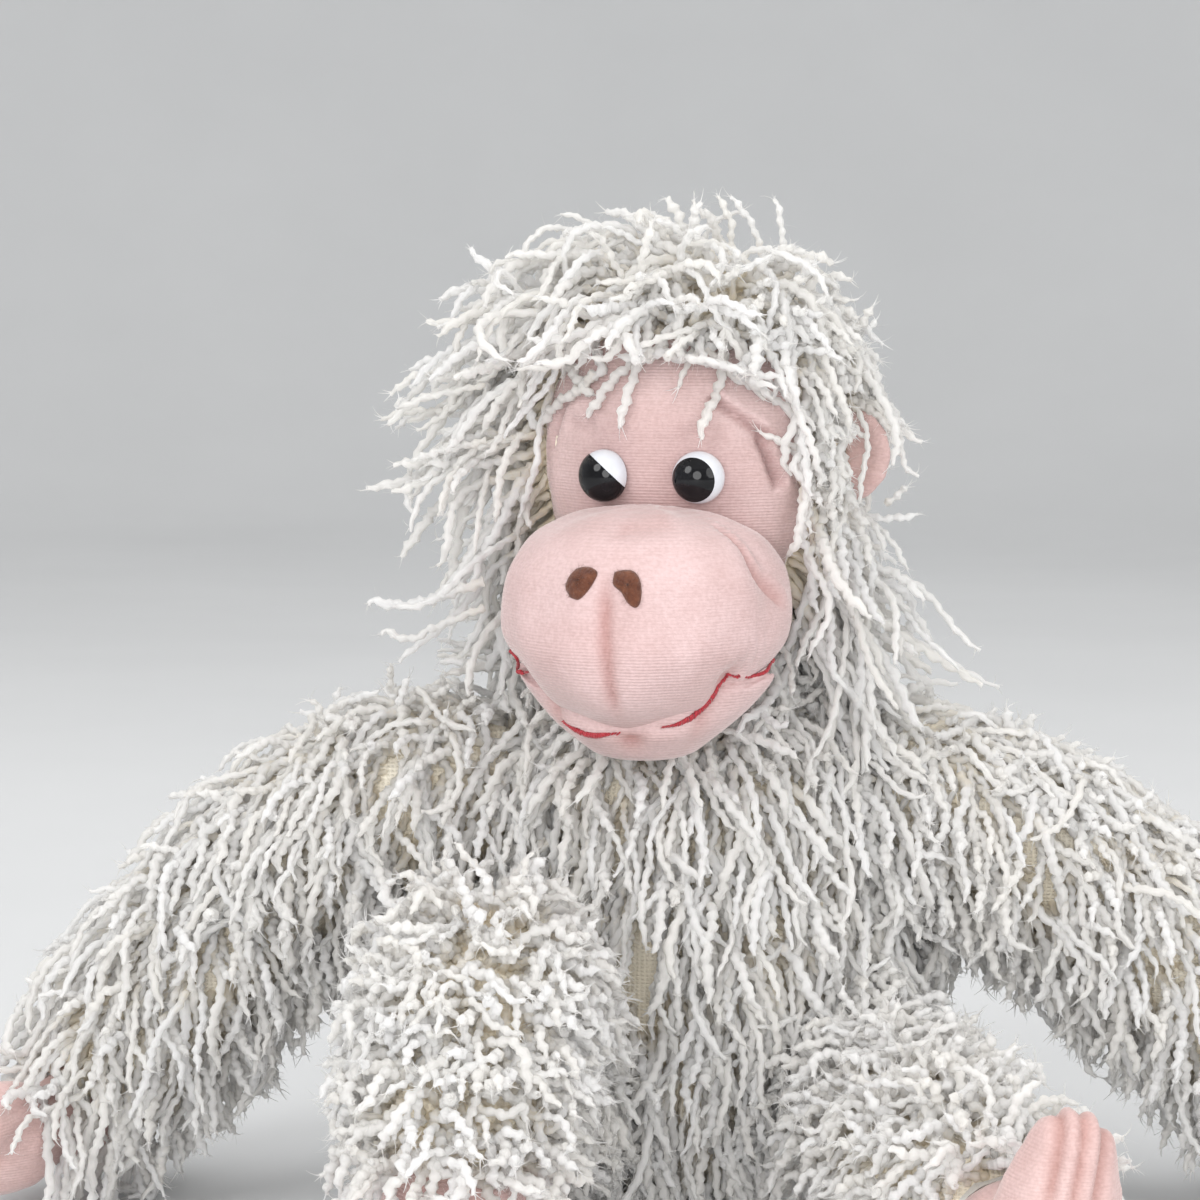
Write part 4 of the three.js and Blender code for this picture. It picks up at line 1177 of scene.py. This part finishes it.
def grow_strands(body, spots, ways, growth, coat, partings, stops):
    """Walks each strand from its root: it keeps its way, sags, waves, and stays off the form below.

    A strand ends early where it would hang further off the form than its reach, too high or by an ear."""
    lifts, reach, lengths = growth
    count = len(spots)
    step = (lengths / STEPS)[:, None]
    place = spots.copy()
    way = ways.copy()
    path = [place - ways * ROOT_DEPTH, place]
    turn_a = unit(np.cross(ways, rng.normal(0, 1, ways.shape)))
    turn_b = unit(np.cross(ways, turn_a))
    rate = rng.uniform(0.3, 0.75, (count, 1))
    phase = rng.uniform(0, 2 * math.pi, (count, 2))
    drift = rng.normal(0, 0.05, (count, 3))
    curl = rng.normal(0, 0.16, (count, 3))
    ends = np.full(count, float(STEPS))
    for i in range(1, STEPS + 1):
        swing = turn_a * np.sin(rate * i + phase[:, :1]) + turn_b * np.sin(rate * 0.8 * i + phase[:, 1:])
        loose = curl * max(0.0, (i - LOOSE_FROM * STEPS) / ((1 - LOOSE_FROM) * STEPS))
        sag = np.array([0, 0, -1.0]) * coat["gravity"]
        way = unit(way + sag + swing * coat["wave"] + drift + loose)
        place = place + way * step
        share = min(i / RISE_STEPS, 1.0)
        lift = lifts * share * share * (3 - 2 * share) + LEAST_LIFT
        near, normals = nearest_all(body.tree, place)
        off = ((place - near) * normals).sum(axis=1)
        place = clear_face(place + normals * np.clip(lift - off, 0, MOST_PUSH)[:, None])
        for centre, radius in partings:
            away = place - centre
            distance = np.linalg.norm(away, axis=1)
            short = (radius - distance) * (distance < radius)
            place[:, 0] += np.sign(away[:, 0]) * (short * PARTING_PUSH)
        place[:, 2] = np.maximum(place[:, 2], FLOOR_LIFT + (lifts * 0.15))
        far = ((off > reach) & (i > FREE_STEPS)) | (place[:, 2] > TOP_REACH)
        for centre, radius in stops:
            far |= np.linalg.norm(place - centre, axis=1) < radius
        far &= ends == STEPS
        ends[far] = i - 1
        way = unit(place - path[-1])
        path.append(place)
    path.append(place + way * step)
    return cut_rows(np.stack(path, axis=1), ends)


def cut_rows(path, ends):
    """Shortens each row of points to its own end, with as many points as before."""
    last = path.shape[1] - 1
    places = np.linspace(0, 1, last + 1)[None, :] * (ends[:, None] + last - STEPS)
    low = np.minimum(np.floor(places).astype(int), last - 1)
    part = (places - low)[..., None]
    rows = np.arange(len(path))[:, None]
    return path[rows, low] * (1 - part) + path[rows, low + 1] * part


def frames(path):
    """Tangents and two even cross directions along each row of points."""
    tangents = unit(np.gradient(path, axis=1))
    first = np.cross(tangents[:, 0], np.array([0.31, 0.52, 0.79]))
    normals = [unit(first)]
    for i in range(1, path.shape[1]):
        t = tangents[:, i]
        n = normals[-1] - (normals[-1] * t).sum(axis=1, keepdims=True) * t
        normals.append(unit(n))
    normals = np.stack(normals, axis=1)
    return tangents, normals, np.cross(tangents, normals)


def yarn_tubes(path, radius):
    """Looped yarns along rows of points: their middles, tangents, surface points and lengths along."""
    count = len(path)
    centre = catmull(path, np.linspace(0, path.shape[1] - 3 - 1e-9, RINGS + 1))
    lengths = np.linalg.norm(np.diff(centre, axis=1), axis=2)
    along = np.concatenate([np.zeros((count, 1)), np.cumsum(lengths, axis=1)], axis=1)
    tangents, normals, sides = frames(centre)
    share = np.linspace(0, 1, RINGS + 1)[None, :]
    phase = rng.uniform(0, 2 * math.pi, (count, 1))
    size = radius * rng.uniform(*YARN_SIZES, (count, 1))
    helix = 2 * math.pi * along / YARN_PITCH + phase
    swirl = (0.24 * size * np.minimum(share * 8, 1))[..., None]
    centre = centre + (np.cos(helix)[..., None] * normals + np.sin(helix)[..., None] * sides) * swirl
    bumps = 1 + 0.3 * np.cos(2 * math.pi * along / BUMP_PITCH + phase * 2) + rng.normal(0, 0.07, along.shape)
    width = size * bumps * np.clip((1.04 - share) / 0.16, 0.3, 1) ** 0.7
    turns = (np.arange(YARN_SIDES) * 2 * math.pi / YARN_SIDES)[None, None, :, None]
    rims = np.cos(turns) * normals[:, :, None] + np.sin(turns) * sides[:, :, None]
    tube = centre[:, :, None] + rims * width[:, :, None, None]
    return centre, tangents, tube.reshape(-1, 3), along


def loose_fibres(centre, tangents):
    """Frayed fibres at the yarns' tips and stray ones along them, each kind with its shade."""
    tips = np.repeat(centre[:, -2], FRAYS, axis=0)
    aims = unit(np.repeat(tangents[:, -1], FRAYS, axis=0) + rng.normal(0, 0.38, tips.shape))
    frayed = ribbon_arrays(tips, aims, *FRAY_SIZE)
    picks = rng.integers(4, RINGS - 2, (len(centre), STRAYS))
    rows = np.repeat(np.arange(len(centre))[:, None], STRAYS, axis=1)
    starts = centre[rows, picks].reshape(-1, 3)
    aims = unit(rng.normal(0, 1, starts.shape) + tangents[rows, picks].reshape(-1, 3) * 0.9)
    return (frayed, 0.9), (ribbon_arrays(starts, aims, *STRAY_SIZE), 0.6)


def pairs(across, up):
    return np.stack([across, up], axis=-1).reshape(-1, 2)


def yarn_piece(name, path, body_name, mat, radius=YARN_RADIUS):
    """One mesh of looped yarns along rows of points, with frayed tips and stray fibres."""
    count = len(path)
    centre, tangents, tube, along = yarn_tubes(path, radius)
    per = (RINGS + 1) * YARN_SIDES
    strand, level, side = np.indices((count, RINGS, YARN_SIDES))
    strand = np.repeat(strand.reshape(-1, 1), 4, axis=1)
    level = np.stack([level, level, level + 1, level + 1], axis=-1).reshape(-1, 4)
    around = np.stack([side, side + 1, side + 1, side], axis=-1).reshape(-1, 4) / YARN_SIDES
    columns = math.ceil(math.sqrt(count))
    cell = 1.0 / columns

    def in_cell(whose, left, across, low, up):
        """Corners in each yarn's own cell of the atlas."""
        return pairs((whose % columns + left + across) * cell, (whose // columns + low + up) * cell)

    points = [tube]
    quads = [repeated(band_quads(RINGS + 1, YARN_SIDES), count, per)]
    ply = [pairs(around * 2.0, along[strand, level] / YARN_PITCH * 2.0)]
    atlas = [in_cell(strand, 0.08, 0.8 * around, 0.05, 0.86 * level / RINGS)]
    alongs = [np.tile(np.repeat(np.linspace(0, 1, RINGS + 1), YARN_SIDES), count)]
    tints = [np.repeat(rng.random(count), per)]
    for (extra_points, extra_quads), shade in loose_fibres(centre, tangents):
        whose = np.repeat(np.arange(count), len(extra_quads) // count)[:, None]
        across = np.tile(np.array([0.0, 1.0, 1.0, 0.0]), (len(extra_quads), 1))
        up = np.tile(np.array([0.0, 0.0, 1.0, 1.0]), (len(extra_quads), 1))
        quads.append(extra_quads + sum(map(len, points)))
        points.append(extra_points)
        ply.append(pairs(across, up + whose))
        atlas.append(in_cell(whose, 0.2, 0.5 * across, 0.8, 0.1 * up))
        alongs.append(np.full(len(extra_points), shade))
        tints.append(np.repeat(rng.random(count), len(extra_points) // count))
    placed = np.vstack(points)
    placed[:, 2] = np.maximum(placed[:, 2], FLOOR_GAP)
    mesh = quad_mesh(name, placed, np.vstack(quads))
    corner_values(mesh, "ply", np.vstack(ply))
    corner_values(mesh, "OFBake", np.vstack(atlas))
    point_values(mesh, "along", np.concatenate(alongs))
    point_values(mesh, "tint", np.concatenate(tints))
    mesh.materials.append(mat)
    obj = link(name, mesh)
    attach(obj, body_name)


def split_sectors(spots, parts):
    """Groups of strands by their direction round the form's middle."""
    middle = spots.mean(axis=0)
    turn = np.arctan2(spots[:, 1] - middle[1], spots[:, 0] - middle[0])
    return np.array_split(np.argsort(turn), parts)


# Where the yarn parts and the backing shows: the picture's pixel and the parting's radius in mm
PARTINGS = (((512, 738), 11.0), ((640, 962), 13.0))


def make_coats(body):
    smallest = min(coat["spacing"] for coat in COATS.values())
    spots, normals = scattered(body, smallest)
    owners = np.array([body.label_of(spot) for spot in spots])
    depth, local, _, _ = face_zone(spots)
    face = (depth > -0.02) & (local[:, 1] < 5)
    partings = [(on_surface(pixel, body.tree)[0], radius) for pixel, radius in PARTINGS]
    stops = [(head_world([sign * EAR_LATERAL, EAR_BACK, EAR_HEIGHT]), EAR_CLEAR) for sign in (-1, 1)]
    counts = {}
    for region, coat in COATS.items():
        share = (smallest / coat["spacing"]) ** 2 * (1 + 0.8 * topness(normals))
        mine = (owners == region) & (rng.random(len(spots)) < share)
        if region == "head":
            mine &= ~face
        for centre, radius in partings + stops:
            mine &= np.linalg.norm(spots - centre, axis=1) > radius
        here, out = spots[mine], normals[mine]
        growth = fullness(region, here, out, coat)
        growth[2][(out[:, 2] < -0.6) & (here[:, 2] < SEAT_HEIGHT)] *= SEAT_SHARE
        path = grow_strands(body, here, comb(region, here, out), growth, coat, partings, stops)
        parts = max(1, math.ceil(len(here) / MOST_STRANDS))
        for number, rows in enumerate(split_sectors(here, parts), 1):
            yarn_piece(f"fur_{region}_{number}", path[rows], region, FUR)
        counts[region] = len(here)
    print("strands", counts, sum(counts.values()))


# Strands laid one by one, by the picture's pixels. Those over the brow ride some mm off the face, more at
# the root. Those that stand out round the head have the depth in mm at which they stand.
BROW_ROOT, BROW_LIFT = 4.5, 3.0
BROW_STRANDS = (
    ((560, 332), (570, 350), (580, 374), (600, 402)),
    ((604, 372), (590, 390), (562, 402), (531, 428)),
    ((652, 335), (640, 360), (615, 386), (591, 418)),
    ((660, 320), (648, 352), (633, 390), (622, 434)),
    ((694, 305), (693, 348), (686, 370), (676, 397)),
    ((722, 325), (721, 372), (711, 402), (702, 421), (700, 447)),
    ((826, 470), (797, 452), (776, 440), (749, 434)),
    ((700, 352), (732, 380), (762, 396), (790, 420), (806, 452)),
    ((610, 330), (600, 352), (607, 372), (584, 388)),
    ((745, 345), (752, 372), (775, 392), (793, 418)),
)
STANDING_STRANDS = (
    (((690, 250), (682, 226), (672, 206), (664, 196)), -10.0),
    (((728, 258), (731, 226), (722, 205), (716, 193)), -4.0),
    (((764, 262), (752, 226), (738, 206), (728, 194)), 0.0),
    (((792, 276), (782, 238), (778, 210), (772, 195)), 4.0),
    (((822, 318), (832, 298), (838, 282)), 0.0),
    (((838, 340), (862, 322), (872, 304)), 0.0),
    (((842, 346), (866, 330), (876, 318)), 6.0),
    (((840, 330), (860, 345), (879, 362)), -6.0),
    (((490, 384), (452, 392), (425, 398), (397, 408), (404, 394)), -20.0),
    (((490, 440), (438, 452), (420, 458), (408, 462)), -20.0),
    (((490, 580), (430, 600), (400, 606), (372, 602), (366, 610)), -30.0),
    (((490, 606), (435, 628), (410, 640), (385, 632), (378, 640)), -30.0),
    (((884, 505), (900, 492), (908, 486)), 0.0),
    (((640, 240), (612, 232), (590, 246), (560, 244), (535, 262), (500, 262), (484, 280)), -14.0),
    (((560, 262), (530, 268), (505, 280), (486, 272)), -12.0),
)


def make_placed_strands(face_tree):
    rows = []
    for pixels in BROW_STRANDS:
        found = [on_surface(pixel, face_tree) for pixel in pixels]
        rises = [BROW_ROOT] + [BROW_LIFT] * (len(found) - 1)
        rows.append([place + normal * rise for (place, normal), rise in zip(found, rises)])
    place_yarns("fur_fringe", rows)
    rows = []
    for pixels, depth in STANDING_STRANDS:
        rays = [picture_ray(pixel) for pixel in pixels]
        rows.append([EYE_POINT + ray * (depth - EYE_POINT[1]) / ray[1] for ray in rays])
    place_yarns("fur_tufts", rows)


def place_yarns(name, rows):
    path = np.array([smooth_path(row, STEPS + 3) for row in rows])
    yarn_piece(name, path, "head", FRINGE, PLACED_RADIUS)


# Light, floor and camera

# Floor in m: its radius, the radius of its bend up into the wall, the wall's top, and steps round and up
FLOOR_REACH, FLOOR_BEND, WALL_TOP, FLOOR_AROUND, BEND_STEPS = 3.4, 1.0, 2.4, 96, 10


def make_stage():
    """A round pale floor that curves up into a low wall all round."""
    flat = FLOOR_REACH - FLOOR_BEND
    profile = [(0.4, 0.0), (1.4, 0.0), (flat, 0.0)]
    for i in range(1, BEND_STEPS + 1):
        turn = math.pi / 2 * i / BEND_STEPS
        profile.append((flat + FLOOR_BEND * math.sin(turn), FLOOR_BEND - FLOOR_BEND * math.cos(turn)))
    profile.append((FLOOR_REACH, WALL_TOP))
    points = [(0.0, 0.0, 0.0)]
    for radius, height in profile:
        for j in range(FLOOR_AROUND):
            turn = 2 * math.pi * j / FLOOR_AROUND
            points.append((radius * math.cos(turn), radius * math.sin(turn), height))
    faces = [(0, 1 + j, 1 + (j + 1) % FLOOR_AROUND) for j in range(FLOOR_AROUND)]
    faces += (band_quads(len(profile), FLOOR_AROUND)[:, [0, 3, 2, 1]] + 1).tolist()
    mesh = bpy.data.meshes.new("floor")
    mesh.from_pydata(points, [], faces)
    smoothed(mesh)
    floor = link("floor", mesh)
    mat, tree, shader = material("floor_paper")
    tones = [(0.3, (0.70, 0.71, 0.72)), (0.7, (0.73, 0.74, 0.75))]
    colour = ramp(tree, noise(tree, object_place(tree), 3.0), tones)
    feed(tree, shader, {"Base Color": colour, "Roughness": 0.9})
    mesh.materials.append(mat)


# Each lamp's place and size in m and its power in W, the place in m that all face, and the light from all
# round
LIGHTS = {
    "key": ((-1.15, -1.15, 1.15), 0.9, 12.0),
    "fill": ((1.35, -1.1, 0.75), 1.2, 10.0),
    "front": ((-0.1, -1.6, 0.5), 0.9, 11.0),
    "top": ((0.15, 0.5, 1.7), 1.2, 8.5),
}
LIT_PLACE = (0, -0.03, 0.15)
SKY_COLOUR, SKY_STRENGTH = (1.0, 0.99, 0.975), 0.75


def area_light(name, place, size, power):
    data = bpy.data.lights.new(name, "AREA")
    data.shape = "DISK"
    data.size = size
    data.energy = power
    light = link(name, data)
    light.location = place
    light.rotation_euler = (Vector(LIT_PLACE) - Vector(place)).to_track_quat("-Z", "Y").to_euler()


def make_lights():
    for name, (place, size, power) in LIGHTS.items():
        area_light(name, place, size, power)
    world = bpy.data.worlds.new("studio")
    world.use_nodes = True
    feed(world.node_tree, world.node_tree.nodes["Background"], {0: SKY_COLOUR, 1: SKY_STRENGTH})
    bpy.context.scene.world = world


SENSOR = 36.0


def make_camera():
    data = bpy.data.cameras.new("camera")
    data.sensor_fit = "HORIZONTAL"
    data.sensor_width = SENSOR
    data.lens = SENSOR * FOCAL / PICTURE
    data.clip_start = 0.05
    data.clip_end = 30.0
    camera = link("camera", data)
    camera.location = Vector(EYE_POINT) * MM
    yaw = math.atan((AIM_PIXEL[0] - PICTURE / 2) / FOCAL)
    dip = math.atan((PICTURE / 2 - AIM_PIXEL[1]) / FOCAL)
    camera.rotation_euler = (math.radians(90 - ELEVATION) - dip, 0, yaw)
    bpy.context.scene.camera = camera


def dress_inner_nodes():
    """The CAD nodes that stay inside the covers."""
    wadding = inner_material("wadding", (0.74, 0.73, 0.70), (0.90, 0.90, 0.88), 160.0, 0.95, 1.2)
    pellets = inner_material("pellets", (0.50, 0.52, 0.55), (0.75, 0.76, 0.78), 420.0, 0.45, 0.8)
    plastic = inner_material("stem_plastic", (0.55, 0.55, 0.53), (0.66, 0.66, 0.64), 900.0, 0.4, 0.05)
    for name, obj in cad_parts.items():
        hard = "stem" in name or "washer" in name
        obj.data.materials.clear()
        obj.data.materials.append(pellets if name == "bean_bag" else plastic if hard else wadding)


def place_skins(skins):
    """Each skin's body in the frame and the CAD nodes that it stands for."""
    for name, skin in skins.items():
        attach(skin, name)
    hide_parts("body_cover")
    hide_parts("neck_stuffing")
    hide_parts("head_cover", "head_stuffing")
    for side in ("right", "left"):
        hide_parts(f"arm_cover_{side}")
        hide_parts(f"leg_cover_{side}")


def place_velour(face, ears, ends):
    """The same for the velour pieces; each claim also holds how far the piece is padded in mm, which is not
    used.
    """
    claims = [(obj, "head", nodes, 0.8) for obj, nodes in face]
    claims += [(ear, "head", [f"ear_{side}"], 0.4) for side, ear in ears.items()]
    for name, end in ends.items():
        kind, _, side = name.split("_")
        claims.append((end, f"{kind}_{side}", [f"{kind}_cover_{side}", f"{kind}_stuffing_{side}"], 0.6))
    for obj, body, nodes, padding in claims:
        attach(obj, body)
        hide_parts(*nodes)


def main():
    bpy.context.scene.view_settings.view_transform = "Standard"
    make_camera()
    make_lights()
    make_stage()
    dress_inner_nodes()
    skins = make_skins()
    forms = make_velour_forms()
    muzzle = forms.pop("muzzle_velour")
    jaw = forms.pop("jaw_velour")
    panel = make_panel()
    sides = (("right", -1), ("left", 1))
    ears = {side: make_ear(side, sign) for side, sign in sides}
    parts = [(skin, name) for name, skin in skins.items()]
    parts += [(obj, "face") for obj in (panel, muzzle, jaw, *ears.values())]
    parts += [(end, "velour") for end in forms.values()]
    body = Body(parts)
    place_skins(skins)
    face = [(panel, ["face_panel"]), (muzzle, ["muzzle_cover", "muzzle_stuffing"]),
            (jaw, ["jaw_cover", "jaw_stuffing"])]
    place_velour(face, ears, forms)
    trees = (tree_of(muzzle), tree_of(jaw))
    for side, sign in sides:
        make_eye(side, sign)
        make_nostril(side, trees[0])
    for name in MOUTH_LINES:
        make_mouth_line(name, trees)
    make_coats(body)
    make_placed_strands(tree_of(panel))
    body.done()


main()
